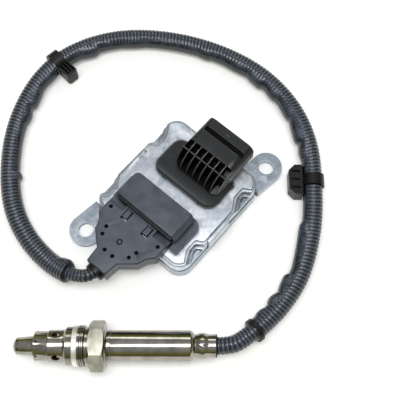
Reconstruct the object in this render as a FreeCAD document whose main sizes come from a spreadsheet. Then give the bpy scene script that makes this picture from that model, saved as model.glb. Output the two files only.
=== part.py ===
import FreeCAD, Part
import os
from math import cos, pi, radians, sin, sqrt, tan
from types import SimpleNamespace

import Sketcher
from FreeCAD import Placement, Rotation, Vector

# Nitrogen oxide sensor: a control unit in a die-cast case, a sleeved cable and a probe.
# X runs along the control unit towards the mouth of its vehicle header, Y across it, Z up.
# The origin is midway between the two ear holes, on the flat rear face. The unit, the cable
# and the probe all lie on the plane Z = 0. Lengths are in millimetres, angles in degrees.

SIZES = {
    # Case: base plate with ears, cover, and the seal between them
    "case_length": 66.0,
    "case_width": 61.5,
    "case_shift": -0.7,
    "case_corner": 8.0,
    "base_height": 7.0,
    "base_floor": 3.0,
    "base_wall": 3.0,
    "ear_spacing_x": 90.4,
    "ear_spacing_y": 50.0,
    "ear_radius": 8.6,
    "ear_hole_radius": 4.25,
    "ear_thickness": 4.5,
    "ear_root": 2.0,
    "seal_thickness": 0.4,
    "seal_inset": 0.8,
    "seal_width": 1.4,
    "cover_height": 8.6,
    "cover_roof": 2.0,
    "cover_wall": 2.2,
    "cover_inset": 0.5,
    "cover_edge": 0.7,
    "rim_width": 1.4,
    "rim_drop": 0.5,
    "field_edge": 0.3,
    "scallop_run": 2.6,
    "scallop_flat": 4.2,
    "scallop_length": 14.5,
    "scallop_depth": 4.0,
    "scallop_corner": 1.8,
    "scallop_floor": 3.2,
    "scallop_ledge": 1.2,
    "scallop_ledge_drop": 2.8,
    "left_rear_scallop": 5.0,
    "left_front_scallop": 22.2,
    "right_front_scallop": 8.5,
    "right_rear_scallop": 19.5,
    "side_bar_length": 16.2,
    "side_bar_shift": -3.2,
    "side_bar_proud": 1.3,
    "side_bar_inside": 0.8,
    "side_bar_rise": 0.8,
    "side_bar_height": 7.7,
    "side_bar_edge": 0.35,
    "recess_length": 5.4,
    "recess_width": 2.6,
    "recess_depth": 0.9,
    "recess_inset": 2.0,
    "recess_x": 3.4,
    # Case screws, from below
    "screw_inset": 7.0,
    "screw_radius": 1.5,
    "screw_reach": 9.0,
    "screw_head_radius": 2.6,
    "screw_head_gap": 0.15,
    "screw_head_height": 1.8,
    "screw_sink": 0.4,
    "screw_post_radius": 4.0,
    # Circuit board
    "board_gap": 1.0,
    "board_thickness": 1.6,
    "board_stand": 1.6,
    "board_stand_radius": 2.0,
    "board_stand_x": 16.0,
    "board_stand_y": 22.0,
    "chip_side": 10.0,
    "chip_height": 1.6,
    "driver_side": 7.0,
    "driver_height": 1.3,
    "chip_x": 3.0,
    "chip_y": 8.0,
    "driver_y": -10.0,
    "driver_pitch": 10.0,
    "can_radius": 3.2,
    "can_height": 5.4,
    "can_x": 11.6,
    "can_y": -1.0,
    "can_pitch": 14.0,
    # Vehicle header
    "gasket_thickness": 0.5,
    "gasket_inset": 0.8,
    "gasket_width": 1.2,
    "window_length": 8.0,
    "pin_window_length": 3.0,
    "flange_length": 23.0,
    "flange_width": 40.2,
    "flange_x": 12.5,
    "flange_y": -1.4,
    "flange_corner": 6.0,
    "flange_lip": 1.1,
    "flange_step": 1.0,
    "flange_step_inset": 0.9,
    "lug_length": 1.6,
    "lug_proud": 0.5,
    "lug_height": 0.8,
    "rear_lug_spread": 24.0,
    "side_lug_spread": 10.8,
    "side_lug_shift": 1.9,
    "tube_width": 29.5,
    "tube_height": 14.0,
    "tube_y": -5.1,
    "tube_top": 32.2,
    "tube_rear_x": 21.6,
    "tube_mouth_x": 38.0,
    "tube_wall": 1.8,
    "tube_corner": 4.2,
    "socket_depth": 14.0,
    "elbow_radius": 13.0,
    "elbow_core_radius": 7.3,
    "elbow_wall": 0.8,
    "elbow_sill": 1.2,
    "rib_thickness": 0.55,
    "cell_count": 7,
    "cross_web_x": 16.1,
    "cross_web_thickness": 0.55,
    "cross_web_drop": 0.4,
    "groove_x": 29.6,
    "groove_width": 3.0,
    "groove_depth": 0.8,
    "groove_end": 2.3,
    "latch_x": 34.4,
    "latch_length": 1.4,
    "latch_width": 1.8,
    "latch_proud": 0.4,
    "blade_count": 5,
    "blade_pitch": 4.5,
    "blade_width": 1.5,
    "blade_thickness": 0.8,
    "blade_z": 23.6,
    "blade_x": 17.3,
    "blade_reach": 11.0,
    # Sensor header; its mouth keeps its distance from the -X end of the case
    "hood_inset": 8.6,
    "hood_flange_length": 17.2,
    "hood_flange_width": 45.4,
    "hood_y": -0.9,
    "hood_flange_height": 3.0,
    "hood_flange_corner": 4.5,
    "hood_tab_length": 3.0,
    "hood_tab_width": 4.4,
    "hood_setback": 0.6,
    "hood_length": 15.8,
    "hood_width": 39.2,
    "hood_body_y": -0.3,
    "hood_top": 26.2,
    "hood_corner": 2.8,
    "hood_edge": 0.6,
    "hood_bevel": 2.4,
    "hood_wall": 2.0,
    "hood_roof": 1.6,
    "hood_back": 2.6,
    "hood_floor": 1.5,
    "pin_count": 8,
    "pin_pitch": 3.6,
    "pin_side": 0.6,
    "pin_reach": 7.0,
    # Sensor plug and its backshell
    "plug_clearance": 0.25,
    "plug_length": 12.4,
    "terminal_side": 2.2,
    "terminal_length": 9.0,
    "terminal_bore": 0.8,
    "terminal_gap": 0.05,
    "terminal_z": 20.0,
    "terminal_inset": 2.2,
    "shell_axis_y": 1.3,
    "shell_split": 16.8,
    "shell_half_height": 5.2,
    "shell_wall": 1.6,
    "shell_hood_gap": 0.4,
    "shell_half": 19.5,
    "shell_shoulder_reach": 3.2,
    "shell_step_reach": 6.6,
    "shell_step_half": 16.3,
    "shell_taper_reach": 11.4,
    "shell_taper_half": 14.5,
    "shell_neck_reach": 18.0,
    "shell_neck_half": 6.9,
    "shell_end_x": -59.0,
    "shell_end_half": 6.1,
    "shell_clear_of_case": 1.3,
    "shell_bore_length": 4.0,
    "shell_step_drop": 1.1,
    "shell_step_length": 3.7,
    "shell_step_inner": 10.4,
    "finger_offset": 6.9,
    "finger_width": 2.9,
    "finger_length": 7.0,
    "finger_root": 1.0,
    "finger_proud": 0.4,
    "finger_gap": 0.5,
    "finger_end_gap": 1.0,
    "pinhole_radius": 1.0,
    "pinhole_depth": 1.1,
    "dial_reach": 5.4,
    "dial_radius": 1.5,
    "dial_line": 0.5,
    "dial_depth": 0.4,
    # Counts of the route's points up to the sleeve's two ends and to the two clips
    "count_to_sleeve": 2,
    "count_to_sleeve_end": 22,
    "count_to_upper_clip": 10,
    "count_to_side_clip": 18,
    # Conduit, cable sleeve and what is on them
    "thin_radius": 3.4,
    "sleeve_radius": 5.25,
    "probe_end_radius": 4.3,
    "collar_radius": 5.2,
    "collar_length": 2.4,
    "last_run": 7.6,
    "clamp_width": 2.5,
    "clamp_thickness": 1.0,
    "clip_band": 1.0,
    "clip_band_width": 6.4,
    "clip_head_gap": 0.4,
    "upper_head_width": 7.0,
    "upper_head_length": 9.6,
    "side_head_width": 17.0,
    "side_head_length": 7.4,
    "side_head_chamfer": 3.2,
    "clip_head_below": 5.4,
    "clip_head_above": 3.4,
    "clip_slot": 1.4,
    # Probe: its tip lies at this place, and its axis is turned by this angle
    "probe_tip_x": -112.4,
    "probe_tip_y": 7.03,
    "probe_z": 11.0,
    "probe_turn": -49.3,
    "probe_length": 99.0,
    "hex_across_flats": 22.0,
    "nose_radius": 4.1,
    "nose_flare": 0.4,
    "nose_length": 9.6,
    "tip_radius": 2.6,
    "front_radius": 7.25,
    "rear_radius": 7.9,
    "step_at": 16.9,
    "tube_end": 24.8,
    "sheet": 0.5,
    "tip_hole_radius": 0.45,
    "shoulder_hole_radius": 0.6,
    "shoulder_hole_at": 11.6,
    "gas_hole_radius": 1.35,
    "gas_dimple_radius": 2.1,
    "gas_hole_at": 21.2,
    "inner_tube_radius": 5.0,
    "inner_tube_start": 11.9,
    "inner_hole_radius": 0.8,
    "inner_hole_at": 15.0,
    "seat_radius": 9.35,
    "seat_length": 1.2,
    "seat_end": 29.1,
    "ring_land_radius": 9.25,
    "ring_radius": 9.9,
    "ring_length": 2.6,
    "ring_gap": 0.05,
    "thread_radius": 10.1,
    "thread_end": 34.6,
    "relief_groove": 0.45,
    "neck_radius": 9.1,
    "hex_start": 37.0,
    "hex_length": 7.6,
    "hex_chamfer": 1.0,
    "weld_collar_radius": 7.6,
    "weld_collar_end": 46.4,
    "body_bore_radius": 6.2,
    "body_front_bore": 4.4,
    "body_front_wall": 1.4,
    "element_width": 4.2,
    "element_thickness": 1.6,
    "element_start": 13.4,
    "element_end": 70.0,
    "front_insulator_length": 7.0,
    "talc_length": 6.0,
    "rear_insulator_length": 6.0,
    "shell_radius": 7.65,
    "shell_sheet": 0.6,
    "shell_foot_radius": 7.95,
    "shell_foot_length": 1.0,
    "shell_rear": 86.8,
    "crimp_neck_radius": 5.5,
    "crimp_start": 88.4,
    "crimp_bulge_radius": 6.4,
    "crimp_bulge_at": 92.0,
    "crimp_waist_radius": 5.65,
    "crimp_waist_at": 94.9,
    "crimp_end_radius": 5.75,
    "crimp_end": 98.5,
    "holder_start": 54.0,
    "holder_length": 18.0,
    "spring_end": 68.0,
    "spring_pitch": 1.05,
    "spring_width": 0.7,
    "spring_thickness": 0.4,
    "wire_radius": 0.55,
    "wire_pitch": 1.4,
    "wire_offset": 1.4,
    "grommet_rim": 0.6,
    "grommet_rim_radius": 5.6,
}

# The cable's route, chosen by hand along its line on the floor: out of the backshell, down,
# round the loop and up into the probe. The first straight starts inside the backshell.
ROUTE = [
    (-55.5, 1.3, 16.8),
    (-62.6, 1.3, 16.8),
    (-67.7, 8.0, 13.2),
    (-70.0, 17.0, 8.6),
    (-71.0, 29.0, 5.7),
    (-69.0, 45.5, 5.4),
    (-62.0, 63.0, 5.4),
    (-47.4, 80.4, 5.4),
    (-27.4, 96.4, 5.4),
    (-4.0, 106.0, 5.8),
    (17.0, 107.5, 6.8),
    (38.0, 101.5, 5.8),
    (57.0, 88.0, 5.4),
    (73.0, 66.0, 5.4),
    (84.0, 40.0, 5.4),
    (88.2, 12.4, 5.4),
    (83.5, -13.0, 5.4),
    (71.5, -34.0, 5.8),
    (54.0, -50.0, 6.8),
    (34.0, -65.5, 5.8),
    (10.0, -76.9, 5.4),
    (-9.8, -79.3, 5.6),
    (-24.8, -78.0, 6.8),
    (-35.3, -75.9, 8.8),
]
# How far along their runs of the route the sleeve begins and ends, and the clamp sits
SLEEVE_SHARES = (0.5, 0.6)
CLAMP_SHARE = 0.41

doc = FreeCAD.newDocument("nitrogen_oxide_sensor")
sheet = doc.addObject("Spreadsheet::Sheet", "Sizes")
for row, (name, value) in enumerate(SIZES.items(), 1):
    sheet.set(f"A{row}", name)
    sheet.set(f"B{row}", str(value))
    sheet.setAlias(f"B{row}", name)
doc.recompute()


class Size:
    """A length with its value and the expression on the sheet that gives it."""

    def __init__(self, value, text):
        self.value = float(value)
        self.text = text

    def __add__(self, other):
        other = as_size(other)
        return Size(self.value + other.value, f"({self.text} + {other.text})")

    def __sub__(self, other):
        other = as_size(other)
        return Size(self.value - other.value, f"({self.text} - {other.text})")

    def __rsub__(self, other):
        return as_size(other) - self

    def __mul__(self, other):
        other = as_size(other)
        return Size(self.value * other.value, f"({self.text} * {other.text})")

    def __truediv__(self, other):
        other = as_size(other)
        return Size(self.value / other.value, f"({self.text} / {other.text})")

    def __neg__(self):
        return Size(-self.value, f"(0 - {self.text})")

    __radd__ = __add__
    __rmul__ = __mul__


def as_size(number):
    return number if isinstance(number, Size) else Size(number, f"({number})")


z = SimpleNamespace(**{name: Size(sheet.get(name), f"Sizes.{name}") for name in SIZES})
parts = {}


# Helpers for primitives, booleans, sketches and turned bodies


def bind(feature, sizes):
    """Ties each property of the feature to its size."""
    for path, size in sizes.items():
        feature.setExpression(path, as_size(size).text)
    return feature


def place(solid, corner, rotation=None):
    """Puts a solid at a corner, turned first if a rotation is given."""
    if rotation is not None:
        solid.Placement = Placement(Vector(), rotation)
    return bind(solid, {f"Placement.Base.{axis}": size for axis, size in zip("xyz", corner)})


def box(name, corner, extent):
    """A box from its lowest corner."""
    solid = doc.addObject("Part::Box", name)
    bind(solid, {"Length": extent[0], "Width": extent[1], "Height": extent[2]})
    return place(solid, corner)


def middle_box(name, middle, extent):
    """A box given by the middle of its footprint and its lowest height."""
    corner = (middle[0] - extent[0] / 2, middle[1] - extent[1] / 2, middle[2])
    return box(name, corner, extent)


ALONG = {
    "x": Rotation(Vector(0, 1, 0), 90),
    "y": Rotation(Vector(1, 0, 0), -90),
    "z": Rotation(),
}
BACK_QUARTER = Rotation(Vector(0, 0, 1), Vector(-1, 0, 0), Vector(0, -1, 0), "XYZ")


def rod(name, start, radius, length, axis="z", rotation=None):
    """A cylinder from the middle of its first face."""
    solid = doc.addObject("Part::Cylinder", name)
    bind(solid, {"Radius": radius, "Height": length})
    return place(solid, start, rotation or ALONG[axis])


def quarter(name, start, radius, length):
    """The upper rear quarter of a cylinder that runs towards -Y."""
    solid = rod(name, start, radius, length, rotation=BACK_QUARTER)
    solid.Angle = 90
    return solid


def fuse(name, *solids):
    union = doc.addObject("Part::MultiFuse", name)
    union.Shapes = list(solids)
    union.Refine = True
    return union


def cut(name, base, *tools):
    result = doc.addObject("Part::Cut", name)
    result.Base = base
    result.Tool = tools[0] if len(tools) == 1 else fuse(name + "_tools", *tools)
    result.Refine = True
    return result


def common(name, first, second):
    result = doc.addObject("Part::Common", name)
    result.Base = first
    result.Tool = second
    return result


def group(name, *solids):
    """Separate solids of one kind in one node."""
    compound = doc.addObject("Part::Compound", name)
    compound.Links = list(solids)
    return compound


def rounded(name, base, radius, wanted):
    """Rounds the edges of a solid that the test picks out."""
    doc.recompute()
    box_of = base.Shape.BoundBox
    chosen = [i for i, e in enumerate(base.Shape.Edges, 1) if wanted(e, box_of)]
    result = doc.addObject("Part::Fillet", name)
    result.Base = base
    result.Edges = [(i, radius.value, radius.value) for i in chosen]
    return result


def runs_along(edge, axis):
    """Whether a straight edge runs along X, Y or Z."""
    if not isinstance(edge.Curve, Part.Line):
        return False
    return abs(abs(edge.Curve.Direction["xyz".index(axis)]) - 1) < 1e-6


def upright(edge, box_of):
    return runs_along(edge, "z")


def lengthwise(edge, box_of):
    return runs_along(edge, "x")


def top_rim(edge, box_of):
    """An edge of the top face, all of it at the highest level."""
    return all(abs(v.Z - box_of.ZMax) < 1e-6 for v in edge.Vertexes)


def slab(name, middle, extent, corner):
    """A flat block with rounded upright edges."""
    return rounded(name, middle_box(name + "_blank", middle, extent), corner, upright)


def pin_point(sketch, edge, x, y):
    """Fixes the first point of an edge by its distances from the sketch's origin."""
    for size, kind, axis in ((x, "DistanceX", -2), (y, "DistanceY", -1)):
        size = as_size(size)
        if size.text == "(0)":
            sketch.addConstraint(Sketcher.Constraint("PointOnObject", edge, 1, axis))
        else:
            made = Sketcher.Constraint(kind, -1, 1, edge, 1, size.value)
            number = sketch.addConstraint(made)
            sketch.setExpression(f"Constraints[{number}]", size.text)


def outline(sketch, points):
    """A closed outline of straight edges whose corners follow their sizes."""
    places = [Vector(as_size(x).value, as_size(y).value, 0) for x, y in points]
    for start, end in zip(places, places[1:] + places[:1]):
        sketch.addGeometry(Part.LineSegment(start, end), False)
    for i in range(len(points)):
        after = (i + 1) % len(points)
        sketch.addConstraint(Sketcher.Constraint("Coincident", i, 2, after, 1))
    for i, (x, y) in enumerate(points):
        pin_point(sketch, i, x, y)
    return sketch


def plate(name, points, bottom, height):
    """An outline in X and Y, raised along Z."""
    sketch = outline(doc.addObject("Sketcher::SketchObject", name + "_outline"), points)
    place(sketch, (0, 0, bottom))
    return extruded(name, sketch, height, Vector(0, 0, 1))


def extruded(name, sketch, length, direction):
    solid = doc.addObject("Part::Extrusion", name)
    solid.Base = sketch
    solid.DirMode = "Custom"
    solid.Dir = direction
    solid.Solid = True
    return bind(solid, {"LengthFwd": length})


def turned(name, points):
    """A body turned about X, from a profile of distances along and from the axis."""
    body = doc.addObject("PartDesign::Body", name)
    plane = next(f for f in body.Origin.OriginFeatures if f.Role == "XY_Plane")
    sketch = body.newObject("Sketcher::SketchObject", name + "_profile")
    sketch.AttachmentSupport = [(plane, "")]
    sketch.MapMode = "FlatFace"
    outline(sketch, points)
    revolution = body.newObject("PartDesign::Revolution", name + "_turning")
    revolution.Profile = sketch
    revolution.ReferenceAxis = (sketch, ["H_Axis"])
    revolution.Angle = 360
    body.Tip = revolution
    return body


def keep(name, solid):
    """Marks a finished sub-part, whose label names its file."""
    solid.Label = name
    parts[name] = solid
    return solid


# Case

case_y = z.case_shift
base_top = z.base_height
cover_bottom = base_top + z.seal_thickness
cover_top = cover_bottom + z.cover_height
board_top = z.base_floor + z.board_stand + z.board_thickness
flange_bottom = cover_top + z.gasket_thickness
screw_end = z.screw_sink + z.screw_head_height + z.screw_reach
case_end = -z.case_length / 2
hood_flange_front = case_end + z.hood_inset
hood_front = hood_flange_front + z.hood_setback
pocket_back = hood_front + z.hood_length - z.hood_back
pin_x = pocket_back + z.pin_side
pin_window_shift = z.pin_side
signs = ((1, 1), (-1, 1), (-1, -1), (1, -1))
screw_places = [
    ((z.case_length / 2 - z.screw_inset) * a, case_y + (z.case_width / 2 - z.screw_inset) * b)
    for a, b in signs
]
ears = ((z.ear_spacing_x / 2, -z.ear_spacing_y / 2, 1), (-z.ear_spacing_x / 2, z.ear_spacing_y / 2, -1))


def base_plate():
    """Die-cast tray with two ears; its flat rear face bolts to the vehicle."""
    footprint = slab(
        "footprint", (0, case_y, 0), (z.case_length, z.case_width, base_top), z.case_corner
    )
    pieces = [footprint]
    holes = []
    for number, (x, y, side) in enumerate(ears, 1):
        root_x = (z.case_length / 2 - z.base_wall) * side
        far = y - z.ear_radius * side
        near = y + z.ear_radius * side
        web = [
            (root_x, far + z.ear_root * side),
            (x, far),
            (x, near),
            (root_x, near + z.ear_root * side),
        ]
        pieces.append(plate(f"ear_web_{number}", web, 0, z.ear_thickness))
        pieces.append(rod(f"ear_boss_{number}", (x, y, 0), z.ear_radius, z.ear_thickness))
        holes.append(rod(f"ear_hole_{number}", (x, y, -1), z.ear_hole_radius, z.ear_thickness + 2))
    tray = slab(
        "tray",
        (0, case_y, z.base_floor),
        (z.case_length - z.base_wall * 2, z.case_width - z.base_wall * 2, z.base_height),
        z.case_corner - z.base_wall,
    )
    shell = cut("base_shell", fuse("base_blank", *pieces), tray)
    posts = [
        rod(f"base_post_{i}", (x, y, z.base_floor / 2), z.screw_post_radius, base_top - z.base_floor / 2)
        for i, (x, y) in enumerate(screw_places)
    ]
    stands = [
        rod(
            f"board_stand_{i}",
            (z.board_stand_x * a, case_y + z.board_stand_y * b, z.base_floor / 2),
            z.board_stand_radius,
            z.base_floor / 2 + z.board_stand,
        )
        for i, (a, b) in enumerate(signs)
    ]
    for i, (x, y) in enumerate(screw_places):
        holes.append(rod(f"base_screw_hole_{i}", (x, y, -1), z.screw_radius, base_top + 2))
        sink = z.screw_sink + z.screw_head_height
        bore = z.screw_head_radius + z.screw_head_gap
        holes.append(rod(f"counterbore_{i}", (x, y, -1), bore, sink + 1))
    return cut("base_plate_cast", fuse("base_with_posts", shell, *posts, *stands), *holes)


def scallop(name, corner_sign, bottom, top, grow=0):
    """A hollow in a long side of the cover, steep where it begins and shallow at its end."""
    along, side = corner_sign
    near_front = z.left_front_scallop if side > 0 else z.right_front_scallop
    near_rear = z.left_rear_scallop if side > 0 else z.right_rear_scallop
    inset = near_front if along > 0 else near_rear
    start = (z.case_length / 2 - inset) * along
    edge_y = z.case_width / 2 - z.cover_inset
    rise = z.scallop_depth
    fall = z.scallop_length - z.scallop_run - z.scallop_flat
    outside = z.scallop_corner * 2
    points = [
        (-z.scallop_run * outside / rise - grow, -outside),
        (z.scallop_run - grow, rise + grow),
        (z.scallop_run + z.scallop_flat + grow, rise + grow),
        (z.scallop_length + fall * outside / rise + grow, -outside),
    ]
    places = [(start + u * side, case_y + (edge_y - depth) * side) for u, depth in points]
    blank = plate(name + "_blank", places, bottom, top - bottom)
    return rounded(name, blank, z.scallop_corner, upright)


def case_cover():
    """Die-cast cover, scalloped on its long sides, with a window under each header."""
    length = z.case_length - z.cover_inset * 2
    width = z.case_width - z.cover_inset * 2
    block = slab(
        "cover_block",
        (0, case_y, cover_bottom),
        (length, width, z.cover_height - z.rim_drop),
        z.case_corner - z.cover_inset,
    )
    over = cover_top + 1
    rim = cover_top - z.rim_drop
    field = slab(
        "cover_field_blank",
        (0, case_y, rim - 1),
        (length - z.rim_width * 2, width - z.rim_width * 2, z.rim_drop + 1),
        z.case_corner - z.cover_inset - z.rim_width,
    )
    hollows = []
    field_hollows = []
    walls = []
    for i, sign in enumerate(signs):
        ledge = cover_top - z.scallop_ledge_drop
        hollows.append(scallop(f"scallop_{i}", sign, ledge, over))
        floor = cover_bottom + z.scallop_floor
        hollows.append(scallop(f"scallop_foot_{i}", sign, floor, over, -z.scallop_ledge))
        field_hollows.append(scallop(f"field_scallop_{i}", sign, ledge, over, z.rim_width))
        walls.append(scallop(f"scallop_wall_{i}", sign, as_size(0), over, z.cover_wall))
    block = cut("cover_scalloped", block, *hollows)
    block = rounded("cover_rounded", block, z.cover_edge, top_rim)
    field = cut("cover_field", field, *field_hollows)
    field = rounded("cover_field_rounded", field, z.field_edge, top_rim)
    bar = middle_box(
        "side_bar",
        (
            z.side_bar_shift,
            case_y - width / 2 + (z.side_bar_inside - z.side_bar_proud) / 2,
            cover_bottom + z.side_bar_rise,
        ),
        (z.side_bar_length, z.side_bar_proud + z.side_bar_inside, z.side_bar_height),
    )
    bar = rounded("side_bar_cornered", bar, z.side_bar_proud * 0.6, upright)
    bar = rounded("side_bar_rounded", bar, z.side_bar_edge, top_rim)
    room = slab(
        "cover_room",
        (0, case_y, cover_bottom - 1),
        (
            length - z.cover_wall * 2,
            width - z.cover_wall * 2,
            z.cover_height - z.cover_roof + 1,
        ),
        z.case_corner - z.cover_inset - z.cover_wall,
    )
    for i, (x, y) in enumerate(screw_places):
        walls.append(rod(f"cover_post_{i}", (x, y, 0), z.screw_post_radius, cover_top))
    room = cut("cover_room_shaped", room, *walls)
    feet = [
        rod(f"cover_foot_{i}", (x, y, base_top), z.screw_post_radius, z.seal_thickness)
        for i, (x, y) in enumerate(screw_places)
    ]
    tools = [room]
    tools.append(
        middle_box(
            "vehicle_window",
            (z.blade_x, z.tube_y, cover_top - z.cover_roof - 1),
            (z.window_length, z.blade_pitch * z.blade_count, z.cover_roof + 2),
        )
    )
    tools.append(
        middle_box(
            "sensor_window",
            (pin_x - pin_window_shift, z.hood_body_y, cover_top - z.cover_roof - 1),
            (z.pin_window_length, z.pin_pitch * z.pin_count, z.cover_roof + 2),
        )
    )
    for i, (x, y) in enumerate(screw_places):
        tools.append(rod(f"cover_screw_hole_{i}", (x, y, 0), z.screw_radius, screw_end))
    tools.append(
        middle_box(
            "recess",
            (z.recess_x, case_y + width / 2 - z.recess_inset, cover_top - z.recess_depth),
            (z.recess_length, z.recess_width, z.recess_depth + 1),
        )
    )
    return cut("case_cover_cast", fuse("cover_with_bar", block, field, bar, *feet), *tools)


def ring_slab(name, middle, extent, corner, width):
    """A flat ring between two rounded rectangles."""
    outer = slab(name + "_outer", middle, extent, corner)
    hole = slab(
        name + "_inner",
        (middle[0], middle[1], middle[2] - 1),
        (extent[0] - width * 2, extent[1] - width * 2, extent[2] + 2),
        corner - width,
    )
    return cut(name + "_ring", outer, hole)


def case_seal():
    """Thin seal between the base's rim and the cover."""
    return ring_slab(
        "case_seal",
        (0, case_y, base_top),
        (
            z.case_length - z.seal_inset * 2,
            z.case_width - z.seal_inset * 2,
            z.seal_thickness,
        ),
        z.case_corner - z.seal_inset,
        z.seal_width,
    )


def case_screws():
    """Four screws, sunk in the rear face, that hold the cover down."""
    screws = []
    for i, (x, y) in enumerate(screw_places):
        head_top = z.screw_sink + z.screw_head_height
        head = rod(f"screw_head_{i}", (x, y, z.screw_sink), z.screw_head_radius, z.screw_head_height)
        shank = rod(f"screw_shank_{i}", (x, y, head_top), z.screw_radius, z.screw_reach)
        screws.append(fuse(f"screw_{i}", head, shank))
    return group("case_screw_set", *screws)


def circuit_board():
    """Board on four stands, notched round the screw posts."""
    bottom = z.base_floor + z.board_stand
    span = z.base_wall * 2 + z.board_gap * 2
    blank = middle_box(
        "board_blank",
        (0, case_y, bottom),
        (z.case_length - span, z.case_width - span, z.board_thickness),
    )
    notches = [
        rod(f"board_notch_{i}", (x, y, bottom - 1), z.screw_post_radius + z.board_gap, board_top)
        for i, (x, y) in enumerate(screw_places)
    ]
    return cut("board_cut", blank, *notches)


def board_components():
    """A processor, two drivers and two capacitors on the board."""
    chip_size = (z.chip_side, z.chip_side, z.chip_height)
    components = [middle_box("chip", (z.chip_x, z.chip_y, board_top), chip_size)]
    driver_size = (z.driver_side, z.driver_side, z.driver_height)
    for i in (1, -1):
        driver_at = (z.chip_x, z.driver_y + z.driver_pitch * i / 2, board_top)
        components.append(middle_box(f"driver_{i + 1}", driver_at, driver_size))
        can_at = (z.can_x, z.can_y + z.can_pitch * i / 2, board_top)
        components.append(rod(f"can_{i + 1}", can_at, z.can_radius, z.can_height))
    return group("component_set", *components)


# Vehicle header: a right-angle elbow with ribbed cells, and a tube towards +X

elbow_z = z.tube_top - z.elbow_radius
tube_bottom = z.tube_top - z.tube_height
tube_length = z.tube_mouth_x - z.tube_rear_x
flange_top = flange_bottom + z.flange_lip + z.flange_step
tube_side_y = z.tube_y + z.tube_width / 2


def blade_places():
    return [
        z.tube_y + z.blade_pitch * (i - (SIZES["blade_count"] - 1) / 2)
        for i in range(SIZES["blade_count"])
    ]


def vehicle_terminals():
    """Flat blades that rise from the board and turn towards the mouth."""
    blades = []
    for i, y in enumerate(blade_places()):
        post = middle_box(
            f"blade_post_{i}",
            (z.blade_x, y, board_top),
            (z.blade_thickness, z.blade_width, z.blade_z + z.blade_thickness - board_top),
        )
        start = z.blade_x - z.blade_thickness / 2
        reach = z.tube_mouth_x - z.socket_depth + z.blade_reach - start
        arm = box(
            f"blade_arm_{i}",
            (start, y - z.blade_width / 2, z.blade_z),
            (reach, z.blade_width, z.blade_thickness),
        )
        blades.append(fuse(f"blade_{i}", post, arm))
    return group("blade_set", *blades)


def lip_lugs():
    """Four small lugs on the rear and the -Y side of the header's lip."""
    rear_x = z.flange_x - z.flange_length / 2
    side_y = z.flange_y - z.flange_width / 2
    places = []
    for i in (1, -1):
        places.append((rear_x, z.flange_y + z.rear_lug_spread * i / 2, 0))
        places.append((z.flange_x + z.side_lug_shift + z.side_lug_spread * i / 2, side_y, 1))
    lugs = []
    for i, (x, y, on_side) in enumerate(places):
        plan = [z.lug_proud * 2, z.lug_length]
        if on_side:
            plan.reverse()
        lugs.append(middle_box(f"lip_lug_{i}", (x, y, flange_bottom), (*plan, z.lug_height)))
    return lugs


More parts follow.
